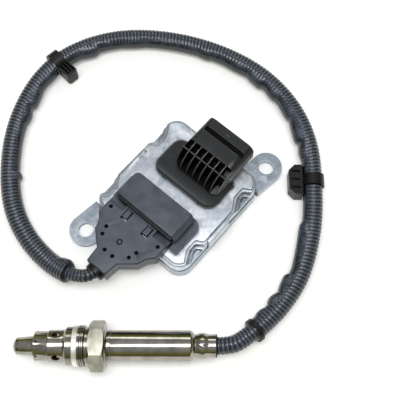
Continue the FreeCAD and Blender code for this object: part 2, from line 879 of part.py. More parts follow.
def vehicle_header(terminals):
    """Moulded round the terminals: flange, elbow with open cells, and tube."""
    lip = slab(
        "header_lip",
        (z.flange_x, z.flange_y, flange_bottom),
        (z.flange_length, z.flange_width, z.flange_lip),
        z.flange_corner,
    )
    inset = z.flange_step_inset * 2
    step = slab(
        "header_step",
        (z.flange_x, z.flange_y, flange_bottom + z.flange_lip),
        (z.flange_length - inset, z.flange_width - inset, z.flange_step),
        z.flange_corner - z.flange_step_inset,
    )
    tube = middle_box(
        "tube_blank",
        (z.tube_rear_x + tube_length / 2, z.tube_y, tube_bottom),
        (tube_length, z.tube_width, z.tube_height),
    )
    tube = rounded("tube_rounded", tube, z.tube_corner, lengthwise)
    elbow = quarter(
        "elbow_blank", (z.tube_rear_x, tube_side_y, elbow_z), z.elbow_radius, z.tube_width
    )
    elbow = rounded("elbow_rounded", elbow, z.tube_corner, on_elbow)
    foot_height = elbow_z - flange_bottom
    foot = middle_box(
        "elbow_foot",
        (
            z.tube_rear_x - z.elbow_radius / 2,
            z.tube_y,
            flange_bottom,
        ),
        (z.elbow_radius, z.tube_width, foot_height),
    )
    foot = rounded("elbow_foot_rounded", foot, z.tube_corner, at_rear)
    sill = middle_box(
        "tube_sill",
        (z.tube_rear_x + z.elbow_sill / 2, z.tube_y, flange_bottom),
        (z.elbow_sill, z.tube_width - z.tube_corner * 2, z.tube_height / 2),
    )
    latch = middle_box(
        "latch",
        (z.latch_x, z.tube_y, z.tube_top - 1),
        (z.latch_length, z.latch_width, z.latch_proud + 1),
    )
    body = fuse("header_body", lip, step, tube, elbow, foot, sill, latch, *lip_lugs())
    socket = middle_box(
        "socket_blank",
        (
            z.tube_mouth_x + (1 - z.socket_depth) / 2,
            z.tube_y,
            tube_bottom + z.tube_wall,
        ),
        (
            z.socket_depth + 1,
            z.tube_width - z.tube_wall * 2,
            z.tube_height - z.tube_wall * 2,
        ),
    )
    socket = rounded("socket_rounded", socket, z.tube_corner - z.tube_wall, lengthwise)
    groove = middle_box(
        "tube_groove",
        (
            z.groove_x + z.groove_width / 2,
            z.tube_y - z.groove_end,
            z.tube_top - z.groove_depth,
        ),
        (z.groove_width, z.tube_width, z.groove_depth + 1),
    )
    beyond = quarter(
        "cell_reach", (z.tube_rear_x, tube_side_y, elbow_z), z.elbow_radius + 1, z.tube_width
    )
    core = quarter(
        "cell_core", (z.tube_rear_x, tube_side_y, elbow_z), z.elbow_core_radius, z.tube_width
    )
    pitch = (z.tube_width - z.elbow_wall * 2 + z.rib_thickness) / z.cell_count
    cells = []
    for i in range(SIZES["cell_count"]):
        y = z.tube_y + pitch * (i - (SIZES["cell_count"] - 1) / 2)
        cells.append(
            middle_box(
                f"cell_{i}",
                (z.tube_rear_x - z.elbow_radius / 2 - 1, y, elbow_z + z.elbow_sill),
                (z.elbow_radius + 2, pitch - z.rib_thickness, z.elbow_radius + 1),
            )
        )
    openings = common("cell_openings", cut("cell_arc", beyond, core), fuse("cell_bars", *cells))
    moulded = cut("header_cut", body, socket, groove, openings)
    rise = sqrt(SIZES["elbow_radius"] ** 2 - (SIZES["tube_rear_x"] - SIZES["cross_web_x"]) ** 2)
    web = middle_box(
        "cross_web",
        (z.cross_web_x, z.tube_y, elbow_z),
        (
            z.cross_web_thickness,
            z.tube_width - z.elbow_wall,
            as_size(rise) - z.cross_web_drop,
        ),
    )
    return cut("header_moulded", fuse("header_webbed", moulded, web), terminals)


def on_elbow(edge, box_of):
    """The two arcs at the ends of the elbow."""
    return isinstance(edge.Curve, Part.Circle)


def at_rear(edge, box_of):
    return runs_along(edge, "z") and abs(edge.CenterOfMass.x - box_of.XMin) < 1e-6


def at_front(edge, box_of):
    return runs_along(edge, "z") and abs(edge.CenterOfMass.x - box_of.XMax) < 1e-6


def vehicle_header_seal():
    """Flat gasket under the vehicle header's flange."""
    return ring_slab(
        "header_seal",
        (z.flange_x, z.flange_y, cover_top),
        (
            z.flange_length - z.gasket_inset * 2,
            z.flange_width - z.gasket_inset * 2,
            z.gasket_thickness,
        ),
        z.flange_corner - z.gasket_inset,
        z.gasket_width,
    )


# Sensor header, open towards -X, and the plug inside it

hood_middle_x = hood_flange_front + z.hood_flange_length / 2
pocket_bottom = flange_bottom + z.hood_floor
pocket_top = z.hood_top - z.hood_roof
pocket_width = z.hood_width - z.hood_wall * 2


def pin_places():
    return [
        z.hood_body_y + z.pin_pitch * (i - (SIZES["pin_count"] - 1) / 2)
        for i in range(SIZES["pin_count"])
    ]


def sensor_header_pins():
    """Square pins that rise from the board and turn towards the plug."""
    pins = []
    pin_z = z.terminal_z + z.terminal_side / 2 - z.pin_side / 2
    for i, y in enumerate(pin_places()):
        post = middle_box(
            f"pin_post_{i}",
            (pin_x, y, board_top),
            (z.pin_side, z.pin_side, pin_z + z.pin_side - board_top),
        )
        arm = box(
            f"pin_arm_{i}",
            (pin_x + z.pin_side / 2 - z.pin_reach, y - z.pin_side / 2, pin_z),
            (z.pin_reach, z.pin_side, z.pin_side),
        )
        pins.append(fuse(f"pin_{i}", post, arm))
    return group("pin_set", *pins)


def sensor_header(pins):
    """Low hood with a flange, moulded round the pins, with one pocket for the plug."""
    flange = middle_box(
        "hood_flange_blank",
        (hood_middle_x, z.hood_y, flange_bottom),
        (z.hood_flange_length, z.hood_flange_width, z.hood_flange_height),
    )
    flange = rounded("hood_flange", flange, z.hood_flange_corner, at_front)
    tab = box(
        "hood_tab",
        (
            hood_flange_front - z.hood_tab_length,
            z.hood_y - z.hood_flange_width / 2,
            flange_bottom,
        ),
        (z.hood_tab_length + 1, z.hood_tab_width, z.hood_flange_height),
    )
    hood = middle_box(
        "hood_blank",
        (hood_front + z.hood_length / 2, z.hood_body_y, flange_bottom + 1),
        (z.hood_length, z.hood_width, z.hood_top - flange_bottom - 1),
    )
    hood = rounded("hood_cornered", hood, z.hood_corner, at_front)
    hood = rounded("hood_rounded", hood, z.hood_edge, top_rim)
    bevel = box(
        "hood_bevel_blank",
        (0, 0, 0),
        (z.hood_length + 2, z.hood_bevel * 4, z.hood_bevel * 2),
    )
    bevel_at = (
        hood_front - 1,
        z.hood_body_y - z.hood_width / 2 - 1,
        z.hood_top - z.hood_bevel - 1,
    )
    bevel = place(bevel, bevel_at, Rotation(Vector(1, 0, 0), 45))
    pocket = box(
        "hood_pocket",
        (
            hood_flange_front - 1,
            z.hood_body_y - pocket_width / 2,
            pocket_bottom,
        ),
        (
            pocket_back - hood_flange_front + 1,
            pocket_width,
            pocket_top - pocket_bottom,
        ),
    )
    return cut("hood_moulded", fuse("hood_body", flange, tab, hood), pocket, bevel, pins)


def sensor_header_seal():
    """Flat gasket under the sensor header's flange."""
    return ring_slab(
        "hood_seal",
        (hood_middle_x, z.hood_y, cover_top),
        (
            z.hood_flange_length - z.gasket_inset * 2,
            z.hood_flange_width - z.gasket_inset * 2,
            z.gasket_thickness,
        ),
        z.hood_flange_corner - z.gasket_inset,
        z.gasket_width,
    )


shell_front = hood_flange_front - z.shell_hood_gap
terminal_middle = shell_front + z.terminal_inset + z.terminal_length / 2


def plug_terminals():
    """Box terminals in one row, bored for the header's pins."""
    terminals = []
    for i, y in enumerate(pin_places()):
        blank = middle_box(
            f"terminal_blank_{i}",
            (terminal_middle, y, z.terminal_z),
            (z.terminal_length, z.terminal_side, z.terminal_side),
        )
        bore = middle_box(
            f"terminal_bore_{i}",
            (
                terminal_middle,
                y,
                z.terminal_z + (z.terminal_side - z.terminal_bore) / 2,
            ),
            (z.terminal_length + 2, z.terminal_bore, z.terminal_bore),
        )
        terminals.append(cut(f"terminal_{i}", blank, bore))
    return group("terminal_set", *terminals)


def sensor_plug():
    """Plug body that stands on the pocket's floor, with one cavity for each terminal."""
    body = middle_box(
        "plug_blank",
        (shell_front + z.plug_length / 2, z.hood_body_y, pocket_bottom),
        (
            z.plug_length,
            pocket_width - z.plug_clearance * 2,
            pocket_top - pocket_bottom - z.plug_clearance,
        ),
    )
    cavities = [
        middle_box(
            f"plug_cavity_{i}",
            (shell_front + z.plug_length / 2, y, z.terminal_z),
            (
                z.plug_length + 2,
                z.terminal_side + z.terminal_gap * 2,
                z.terminal_side + z.terminal_gap,
            ),
        )
        for i, y in enumerate(pin_places())
    ]
    return cut("plug_moulded", body, *cavities)


# Backshell of the sensor plug, in two halves about the conduit's axis


def shell_outline(front, inset, end):
    """Mirrored outline of the backshell, or of the room inside it."""
    along = inset / 2
    half = [
        (front, z.shell_half - inset),
        (case_end - z.shell_shoulder_reach + along, z.shell_half - inset),
        (case_end - z.shell_step_reach + along, z.shell_step_half - inset),
        (case_end - z.shell_taper_reach + along, z.shell_taper_half - inset),
        (case_end - z.shell_neck_reach + along, z.shell_neck_half - inset),
        (end, z.shell_end_half - inset),
    ]
    near = [(x, z.shell_axis_y + y) for x, y in half]
    far = [(x, z.shell_axis_y - y) for x, y in reversed(half)]
    return near + far


def shell_bore(name):
    """The room for the gripped conduit at the narrow end."""
    start = z.shell_end_x - 1
    return rod(
        name, (start, z.shell_axis_y, z.shell_split), z.thin_radius, z.shell_bore_length + 1, "x"
    )


# Blind holes of the upper half, from its shoulder and from its axis
PINHOLES = (
    (5.7, 16.3),
    (-3.7, 10.7),
    (-7.8, 9.5),
    (-13.2, 2.9),
    (-13.2, -2.3),
    (-8.4, -9.1),
    (-4.2, -10.3),
    (5.0, -16.3),
)


def backshell_top():
    """Upper half, with two snap fingers, blind holes and a small dial mark."""
    top = z.shell_split + z.shell_half_height
    blank = plate(
        "top_blank",
        shell_outline(shell_front, as_size(0), z.shell_end_x),
        z.shell_split,
        z.shell_half_height,
    )
    blank = rounded("top_edge", blank, z.shell_wall / 2, shell_rim)
    room = plate(
        "top_room",
        shell_outline(shell_front + 1, z.shell_wall, z.shell_end_x + z.shell_bore_length),
        z.shell_split - 1,
        z.shell_half_height - z.shell_wall + 1,
    )
    tools = [room, shell_bore("top_bore")]
    fingers = []
    for a in (1, -1):
        edge = z.shell_axis_y + (z.shell_step_inner + z.shell_half) * a / 2
        tools.append(
            middle_box(
                f"top_step_{a + 1}",
                (
                    shell_front - z.shell_step_length / 2 + 0.5,
                    edge,
                    top - z.shell_step_drop,
                ),
                (
                    z.shell_step_length + 1,
                    z.shell_half - z.shell_step_inner,
                    z.shell_step_drop + 1,
                ),
            )
        )
        finger_y = z.shell_axis_y + z.finger_offset * a
        window = middle_box(
            f"finger_window_{a + 1}",
            (
                shell_front - (z.finger_length + z.finger_root) / 2,
                finger_y,
                top - z.shell_wall - 1,
            ),
            (
                z.finger_length - z.finger_root,
                z.finger_width + z.finger_gap * 2,
                z.shell_wall + 2,
            ),
        )
        reach = z.finger_length - z.finger_end_gap
        tongue = middle_box(
            f"finger_tongue_{a + 1}",
            (shell_front - reach / 2, finger_y, top - z.shell_wall - 1),
            (reach, z.finger_width, z.shell_wall + 2),
        )
        tools.append(cut(f"finger_slot_{a + 1}", window, tongue))
        fingers.append(
            middle_box(
                f"finger_{a + 1}",
                (
                    shell_front - (reach + z.finger_root) / 2,
                    finger_y,
                    top - z.shell_wall / 2,
                ),
                (reach - z.finger_root, z.finger_width, z.shell_wall / 2 + z.finger_proud),
            )
        )
    for i, (x, y) in enumerate(PINHOLES):
        pinhole_at = (
            case_end - z.shell_shoulder_reach + x,
            z.shell_axis_y + y,
            top - z.pinhole_depth,
        )
        tools.append(rod(f"pinhole_{i}", pinhole_at, z.pinhole_radius, z.pinhole_depth + 1))
    dial_x = case_end - z.shell_shoulder_reach - z.dial_reach
    dial = (dial_x, z.shell_axis_y, top - z.dial_depth)
    ring = rod("dial_ring", dial, z.dial_radius, z.dial_depth + 1)
    pip = rod("dial_pip", dial, z.dial_radius - z.dial_line, z.dial_depth + 1)
    tools.append(cut("dial", ring, pip))
    return cut("backshell_top_half", fuse("top_with_fingers", blank, *fingers), *tools)


def shell_rim(edge, box_of):
    """The top rim without its straight front edge."""
    return top_rim(edge, box_of) and edge.CenterOfMass.x < box_of.XMax - 0.1


def backshell_bottom():
    """Lower half, in front of the case wall."""
    front = case_end - z.shell_clear_of_case
    bottom = z.shell_split - z.shell_half_height
    blank = plate(
        "bottom_blank",
        shell_outline(front, as_size(0), z.shell_end_x),
        bottom,
        z.shell_half_height,
    )
    room = plate(
        "bottom_room",
        shell_outline(
            front - z.shell_wall / 2, z.shell_wall, z.shell_end_x + z.shell_bore_length
        ),
        bottom + z.shell_wall,
        z.shell_half_height,
    )
    return cut("backshell_bottom_half", blank, room, shell_bore("bottom_bore"))


# Route of the cable, and what is on it

turn = radians(SIZES["probe_turn"])
sleeve_from = SIZES["count_to_sleeve"]
sleeve_to = SIZES["count_to_sleeve_end"]
probe_axis = Vector(cos(turn), sin(turn), 0)
probe_tip = Vector(SIZES["probe_tip_x"], SIZES["probe_tip_y"], SIZES["probe_z"])
probe_end = probe_tip + probe_axis * SIZES["probe_length"]
route = [Vector(*point) for point in ROUTE]
route += [probe_end + probe_axis * SIZES["last_run"], probe_end]


def corner(points, i):
    """Start, middle and end of the arc at a point of the route, with its radius."""
    before = points[i - 1] - points[i]
    after = points[i + 1] - points[i]
    reach = 0.45 * min(before.Length, after.Length)
    half_turn = (pi - before.getAngle(after)) / 2
    radius = reach / tan(half_turn)
    start = points[i] + before.normalize() * reach
    end = points[i] + after.normalize() * reach
    inward = (before + after).normalize()
    middle = points[i] + inward * (radius / cos(half_turn) - radius)
    return start, middle, end, radius


def along_run(i, share):
    return route[i] + (route[i + 1] - route[i]) * share


def stretch(name, start, first, last, end, radius):
    """One stretch of the cable, round the given points of the route, of tangent arcs."""
    edges = []
    radii = []
    at = start
    for i in range(first, last + 1):
        entry, middle, leaving, bend = corner(route, i)
        edges.append(Part.LineSegment(at, entry).toShape())
        edges.append(Part.Arc(entry, middle, leaving).toShape())
        radii.append(round(bend, 1))
        at = leaving
    edges.append(Part.LineSegment(at, end).toShape())
    wire = Part.Wire(edges)
    section = Part.Wire(Part.makeCircle(radius, start, route[first] - start))
    solid = wire.makePipeShell([section], True, False)
    swept = wire.Length * pi * radius * radius
    print(
        f"{name}: length {wire.Length:.1f}, diameter {2 * radius:.2f}, radii {radii},",
        f"volume over section times length {solid.Volume / swept:.4f}",
    )
    feature = doc.addObject("Part::Feature", name)
    feature.Shape = solid
    return feature


def frame_at(place, direction):
    """A placement with X along the cable, Y level and to its left, and Z upwards."""
    left = Vector(0, 0, 1).cross(direction)
    return Placement(place, Rotation(direction, left, Vector(0, 0, 1), "XZY"))


def exit_collar(conduit):
    """Collar on the conduit, against the end of the backshell."""
    start = z.shell_end_x - z.collar_length
    place_at = (start, z.shell_axis_y, z.shell_split)
    outer = rod("collar_outer", place_at, z.collar_radius, z.collar_length, "x")
    return cut("exit_collar_ring", outer, conduit)


def sleeve_clamp(sleeve):
    """Band crimped round the end of the sleeve."""
    ring = rod(
        "clamp_ring",
        (-z.clamp_width / 2, 0, 0),
        z.sleeve_radius + z.clamp_thickness,
        z.clamp_width,
        "x",
    )
    band = group("clamp_band", ring)
    run = route[sleeve_to + 1] - route[sleeve_to]
    band.Placement = frame_at(along_run(sleeve_to, CLAMP_SHARE), run.normalize())
    return cut("sleeve_clamp_ring", band, sleeve)


def clip(name, at, head_width, head_length, chamfer, sleeve):
    """Moulded clip: a band round the sleeve and a ribbed head inside the loop."""
    outer = z.sleeve_radius + z.clip_band
    band = rod(name + "_band", (-z.clip_band_width / 2, 0, 0), outer, z.clip_band_width, "x")
    inner_y = z.sleeve_radius + z.clip_head_gap
    far_y = inner_y + head_length
    half = head_width / 2
    points = [
        (-half, -inner_y),
        (-half, chamfer - far_y),
        (chamfer - half, -far_y),
        (half - chamfer, -far_y),
        (half, chamfer - far_y),
        (half, -inner_y),
    ]
    head = plate(name + "_head", points, -z.clip_head_below, z.clip_head_below + z.clip_head_above)
    bridge = middle_box(
        name + "_bridge",
        (0, 1 - z.sleeve_radius - head_length / 2, -z.clip_head_below / 2),
        (z.clip_band_width, head_length + 2, z.clip_head_below / 2 + z.clip_slot),
    )
    slots = [
        middle_box(
            f"{name}_slot_{i}",
            (half * i * 0.55, -inner_y - head_length / 2, z.clip_slot),
            (z.clip_slot, head_length - z.clip_slot * 2, z.clip_head_above),
        )
        for i in (-1, 0, 1)
    ]
    body = cut(name + "_body", fuse(name + "_blank", band, head, bridge), *slots)
    _, middle, _, _ = corner(route, at)
    run = (route[at + 1] - route[at - 1]).normalize()
    body.Placement = frame_at(middle, run)
    return cut(name + "_moulded", body, sleeve)


# Probe, drawn along X from its tip


def on_probe(solid):
    """Lays a finished solid of the probe at its place and turn."""
    solid.Placement = Placement(probe_tip, Rotation(Vector(0, 0, 1), SIZES["probe_turn"]))
    place_by = {"x": z.probe_tip_x, "y": z.probe_tip_y, "z": z.probe_z}
    return bind(solid, {f"Placement.Base.{a}": size for a, size in place_by.items()})


def round_axis(name, count, at, radius, near, far, first_angle=0):
    """Radial bores spaced evenly round the probe's axis."""
    bores = []
    for i in range(count):
        angle = first_angle + 360 / count * i
        outward = Vector(0, cos(radians(angle)), sin(radians(angle)))
        bores.append(
            rod(
                f"{name}_{i}",
                (at, near * outward.y, near * outward.z),
                radius,
                far - near,
                rotation=Rotation(Vector(0, 0, 1), outward),
            )
        )
    return bores


def protection_tube_outer():
    """Drawn tube with a narrow nose, a step, and three kinds of holes."""
    t = z.sheet
    nose_rear = z.nose_radius + z.nose_flare * 2
    outside = [
        (0, 0),
        (0, z.tip_radius),
        (z.nose_flare * 3, z.nose_radius),
        (z.nose_length, nose_rear),
        (z.nose_length + z.nose_flare * 2, z.front_radius),
        (z.step_at, z.front_radius),
        (z.step_at + t, z.rear_radius),
        (z.tube_end, z.rear_radius),
    ]
    inside = [
        (z.tube_end, z.rear_radius - t),
        (z.step_at + t, z.rear_radius - t),
        (z.step_at, z.front_radius - t),
        (z.nose_length + z.nose_flare * 2 + t, z.front_radius - t),
        (z.nose_length + t * 0.6, nose_rear - t),
        (z.nose_flare * 3 + t * 0.5, z.nose_radius - t),
        (t, z.tip_radius - t * 0.5),
        (t, 0),
    ]
    shell = turned("outer_tube_shell", outside + inside)
    tip_holes = round_axis(
        "tip_hole", 6, z.nose_flare * 5, z.tip_hole_radius, z.tip_radius * 0.8, z.nose_radius + 1
    )
    shoulder_holes = round_axis(
        "shoulder_hole",
        6,
        z.shoulder_hole_at,
        z.shoulder_hole_radius,
        z.inner_tube_radius + 0.5,
        z.front_radius + 1,
        82,
    )
    gas_holes = round_axis(
        "gas_hole",
        4,
        z.gas_hole_at,
        z.gas_hole_radius,
        z.inner_tube_radius + 0.5,
        z.rear_radius + 1,
        57,
    )
    dimples = []
    for i, bore in enumerate(gas_holes):
        dimple = doc.addObject("Part::Cone", f"gas_dimple_{i}")
        foot = z.rear_radius - z.sheet
        outward = bore.Placement.Rotation.multVec(Vector(0, 0, 1))
        bind(dimple, {"Radius1": z.gas_hole_radius, "Radius2": z.gas_dimple_radius, "Height": z.sheet})
        spot = (z.gas_hole_at, foot * outward.y, foot * outward.z)
        dimples.append(place(dimple, spot, bore.Placement.Rotation))
    return cut("outer_tube_drilled", shell, *tip_holes, *shoulder_holes, *gas_holes, *dimples)


def protection_tube_inner():
    """Inner drawn tube, closed but for one hole in front and a ring of holes."""
    t = z.sheet
    r = z.inner_tube_radius
    front = z.inner_tube_start
    shell = turned(
        "inner_tube_shell",
        [
            (front, z.inner_hole_radius),
            (front, r - t),
            (front + t, r),
            (z.tube_end, r),
            (z.tube_end, r - t),
            (front + t, r - t),
            (front + t, z.inner_hole_radius),
        ],
    )
    holes = round_axis("inner_hole", 6, z.inner_hole_at, z.inner_hole_radius, r - 1, r + 1, 30)
    return cut("inner_tube_drilled", shell, *holes)


def threaded_body():
    """Steel body: seat, thread with its run-out grooves, neck, hexagon and weld collar."""
    relief = z.relief_groove
    groove_radius = z.thread_radius - relief
    first = z.seat_end + z.ring_length + z.ring_gap
    points = [
        (z.tube_end, z.body_front_bore),
        (z.tube_end, z.rear_radius + z.sheet / 2),
        (z.tube_end + z.seat_length, z.seat_radius),
        (z.seat_end, z.seat_radius),
        (z.seat_end, z.ring_land_radius),
        (first, z.ring_land_radius),
        (first, z.thread_radius),
        (first + relief * 2, z.thread_radius),
        (first + relief * 2, groove_radius),
        (first + relief * 3, groove_radius),
        (first + relief * 3, z.thread_radius),
        (first + relief * 4, z.thread_radius),
        (first + relief * 4, groove_radius),
        (first + relief * 5, groove_radius),
        (first + relief * 5, z.thread_radius),
        (z.thread_end, z.thread_radius),
        (z.thread_end + relief, z.neck_radius),
        (z.hex_start + z.hex_length, z.neck_radius),
        (z.hex_start + z.hex_length + z.hex_chamfer, z.weld_collar_radius),
        (z.weld_collar_end, z.weld_collar_radius),
        (z.weld_collar_end, z.body_bore_radius),
        (z.tube_end + z.body_front_wall, z.body_bore_radius),
        (z.tube_end + z.body_front_wall, z.body_front_bore),
    ]
    barrel = turned("barrel", points)
    hexagon = doc.addObject("Part::Prism", "hexagon")
    hexagon.Polygon = 6
    corner_radius = z.hex_across_flats / sqrt(3)
    bind(hexagon, {"Circumradius": corner_radius, "Height": z.hex_length})
    place(hexagon, (z.hex_start, 0, 0), ALONG["x"] * Rotation(Vector(0, 0, 1), 30))
    face_radius = z.hex_across_flats / 2
    run = (corner_radius - face_radius) * 0.6
    end = z.hex_start + z.hex_length
    limits = turned(
        "hexagon_chamfers",
        [
            (z.hex_start, z.body_bore_radius),
            (z.hex_start, face_radius),
            (z.hex_start + run, corner_radius),
            (end - run, corner_radius),
            (end, face_radius),
            (end, z.body_bore_radius),
        ],
    )
    return fuse("body_with_hexagon", barrel, common("hexagon_turned", hexagon, limits))


def sealing_ring():
    """Captive ring on its land, against the seat."""
    inner = z.ring_land_radius + z.ring_gap
    return turned(
        "sealing_ring_turned",
        [
            (z.seat_end, inner),
            (z.seat_end, z.ring_radius),
            (z.seat_end + z.ring_length, z.ring_radius),
            (z.seat_end + z.ring_length, inner),
        ],
    )


def element_bar(name, start, end):
    """The ceramic strip's section between two places."""
    return box(
        name,
        (start, -z.element_width / 2, -z.element_thickness / 2),
        (end - start, z.element_width, z.element_thickness),
    )


def packed(name, start, length):
    """A disc that fills the body's bore round the ceramic strip."""
    disc = rod(name + "_disc", (start, 0, 0), z.body_bore_radius, length, "x")
    slot = element_bar(name + "_slot", start - 1, start + length + 1)
    return cut(name + "_slotted", disc, slot)


packing_start = z.tube_end + z.body_front_wall
talc_start = packing_start + z.front_insulator_length
rear_insulator_start = talc_start + z.talc_length
shell_inner = z.shell_radius - z.shell_sheet


def crimp_profile(inset):
    """Rear end of the shell: neck, bulge, waist and end collar."""
    return [
        (z.crimp_start, z.crimp_neck_radius - inset),
        (z.crimp_bulge_at - 1, z.crimp_bulge_radius - inset),
        (z.crimp_bulge_at + 1, z.crimp_bulge_radius - inset),
        (z.crimp_waist_at, z.crimp_waist_radius - inset),
        (z.crimp_end, z.crimp_end_radius - inset),
    ]


def rear_shell():
    """Thin tube welded to the body and crimped on the grommet."""
    t = z.shell_sheet
    outside = [
        (z.weld_collar_end, shell_inner),
        (z.weld_collar_end, z.shell_foot_radius),
        (z.weld_collar_end + z.shell_foot_length, z.shell_foot_radius),
        (z.weld_collar_end + z.shell_foot_length, z.shell_radius),
        (z.shell_rear - t, z.shell_radius),
        (z.shell_rear + t * 0.5, z.shell_radius - t),
    ]
    inside = [(z.shell_rear - t, shell_inner)]
    return turned(
        "rear_shell_crimped",
        outside + crimp_profile(as_size(0)) + list(reversed(crimp_profile(t))) + inside,
    )


def wire_places():
    return [(y, a) for a in (1, -1) for y in (-1.5, -0.5, 0.5, 1.5)]


def lead_wires():
    """Eight wires from the contact springs to the end of the grommet."""
    end = z.crimp_end + z.grommet_rim
    return group(
        "lead_wire_set",
        *[
            rod(
                f"wire_{i}",
                (z.spring_end, z.wire_pitch * y, z.wire_offset * a),
                z.wire_radius,
                end - z.spring_end,
                "x",
            )
            for i, (y, a) in enumerate(wire_places())
        ],
    )


def contact_springs():
    """Eight springs pressed on the ceramic strip."""
    springs = []
    for i, (y, a) in enumerate(wire_places()):
        low = z.element_thickness / 2 if a > 0 else -z.element_thickness / 2 - z.spring_thickness
        springs.append(
            box(
                f"spring_{i}",
                (z.holder_start + 1, z.spring_pitch * y - z.spring_width / 2, low),
                (z.spring_end - z.holder_start - 1, z.spring_width, z.spring_thickness),
            )
        )
    return group("contact_spring_set", *springs)


def contact_holder(wires):
    """Ceramic block in the shell that keeps the springs on the strip."""
    block = rod("holder_block", (z.holder_start, 0, 0), shell_inner, z.holder_length, "x")
    height = z.element_thickness + z.spring_thickness * 2
    slot = box(
        "holder_slot",
        (z.holder_start - 1, -z.element_width / 2, -height / 2),
        (z.element_end - z.holder_start + 1, z.element_width, height),
    )
    return cut("holder_slotted", block, slot, wires)


def grommet(wires):
    """Rubber plug under the crimp, with a rim at the cable's end."""
    end = z.crimp_end + z.grommet_rim
    profile = [(z.crimp_start, 0), *crimp_profile(z.shell_sheet)]
    rim = [(z.crimp_end, z.grommet_rim_radius), (end, z.grommet_rim_radius), (end, 0)]
    return cut("grommet_moulded", turned("grommet_blank", profile + rim), wires)


# Sub-parts

keep("base_plate", base_plate())
keep("case_cover", case_cover())
keep("case_seal", case_seal())
keep("case_screws", case_screws())
keep("circuit_board", circuit_board())
keep("board_components", board_components())
blades = keep("vehicle_terminals", vehicle_terminals())
keep("vehicle_header", vehicle_header(blades))
keep("vehicle_header_seal", vehicle_header_seal())
header_pins = keep("sensor_header_pins", sensor_header_pins())
keep("sensor_header", sensor_header(header_pins))
keep("sensor_header_seal", sensor_header_seal())
keep("plug_terminals", plug_terminals())
keep("sensor_plug", sensor_plug())
keep("backshell_top", backshell_top())
keep("backshell_bottom", backshell_bottom())

last = len(route) - 2
sleeve_start = along_run(sleeve_from, SLEEVE_SHARES[0])
sleeve_end = along_run(sleeve_to, SLEEVE_SHARES[1])
thin, wide, end_radius = SIZES["thin_radius"], SIZES["sleeve_radius"], SIZES["probe_end_radius"]
unit_end = stretch("conduit_unit_end", route[0], 1, sleeve_from, sleeve_start, thin)
sleeve = stretch("cable_sleeve", sleeve_start, sleeve_from + 1, sleeve_to, sleeve_end, wide)
probe_side = stretch(
    "conduit_probe_end", sleeve_end, sleeve_to + 1, last, probe_end, end_radius
)
keep("conduit_unit_end", unit_end)
keep("cable_sleeve", sleeve)
keep("conduit_probe_end", probe_side)
keep("exit_collar", exit_collar(unit_end))
keep("sleeve_clamp", sleeve_clamp(sleeve))
upper = (z.upper_head_width, z.upper_head_length, z.clip_band)
side = (z.side_head_width, z.side_head_length, z.side_head_chamfer)
keep("clip_upper", clip("clip_upper", SIZES["count_to_upper_clip"], *upper, sleeve))
keep("clip_side", clip("clip_side", SIZES["count_to_side_clip"], *side, sleeve))

wires = lead_wires()
probe_parts = {
    "protection_tube_outer": protection_tube_outer(),
    "protection_tube_inner": protection_tube_inner(),
    "sensor_element": element_bar("element", z.element_start, z.element_end),
    "front_insulator": packed("front_insulator", packing_start, z.front_insulator_length),
    "talc_packing": packed("talc", talc_start, z.talc_length),
    "rear_insulator": packed("rear_insulator", rear_insulator_start, z.rear_insulator_length),
    "threaded_body": threaded_body(),
    "sealing_ring": sealing_ring(),
    "rear_shell": rear_shell(),
    "contact_holder": contact_holder(wires),
    "contact_springs": contact_springs(),
    "grommet": grommet(wires),
    "lead_wires": wires,
}
doc.recompute()
for name, solid in probe_parts.items():
    keep(name, group(name + "_in_place", solid))
    on_probe(parts[name])

doc.recompute()
for feature in doc.Objects:
    if "Invalid" in feature.State or "Error" in feature.State:
        raise SystemExit(f"{feature.Name}: {feature.State}")
os.makedirs("parts", exist_ok=True)
triangles = 0
for name, solid in parts.items():
    shape = solid.Shape
    if shape.isNull() or not shape.isValid():
        raise SystemExit(f"{name}: its shape is not valid")
    shape.exportStep(f"parts/{name}.step")
    count = len(shape.tessellate(0.1)[1])
    triangles += count
    box_of = shape.BoundBox
    print(
        f"{name}: {len(shape.Solids)} solids, {shape.Volume:.0f} cubic mm, {count} triangles,",
        f"x {box_of.XMin:.1f} {box_of.XMax:.1f}, y {box_of.YMin:.1f} {box_of.YMax:.1f},",
        f"z {box_of.ZMin:.1f} {box_of.ZMax:.1f}",
    )
print(f"{len(parts)} parts, {triangles} triangles")
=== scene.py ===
import math

import bpy
from mathutils import Matrix, Vector


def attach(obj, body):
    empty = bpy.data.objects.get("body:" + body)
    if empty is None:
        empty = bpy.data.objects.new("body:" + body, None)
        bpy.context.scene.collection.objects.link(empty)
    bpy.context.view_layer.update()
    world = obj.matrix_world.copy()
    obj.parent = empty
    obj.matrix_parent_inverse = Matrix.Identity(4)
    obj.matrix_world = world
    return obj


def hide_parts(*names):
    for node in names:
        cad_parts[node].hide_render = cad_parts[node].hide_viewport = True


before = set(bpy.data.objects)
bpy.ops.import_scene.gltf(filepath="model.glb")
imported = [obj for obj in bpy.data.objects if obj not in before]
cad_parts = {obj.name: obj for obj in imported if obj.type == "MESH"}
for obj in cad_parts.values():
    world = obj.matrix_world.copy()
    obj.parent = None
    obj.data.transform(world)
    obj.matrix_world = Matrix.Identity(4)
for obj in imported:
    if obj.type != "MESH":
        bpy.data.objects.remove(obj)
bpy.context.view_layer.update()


# Camera
# One lens of about 65 mm, from above and a little in front, as a small product is shot on a
# table: the probe lies level across the picture, and the case is turned by 49 degrees.

def mm(length):
    """Millimetres as metres."""
    return length / 1000


VIEW_RIGHT = Vector((0.652, -0.758, 0))
CAMERA_AT = Vector((mm(-99.5), mm(-101.6), mm(366)))
CAMERA_AIM = Vector((mm(8.15), mm(-9.06), 0))

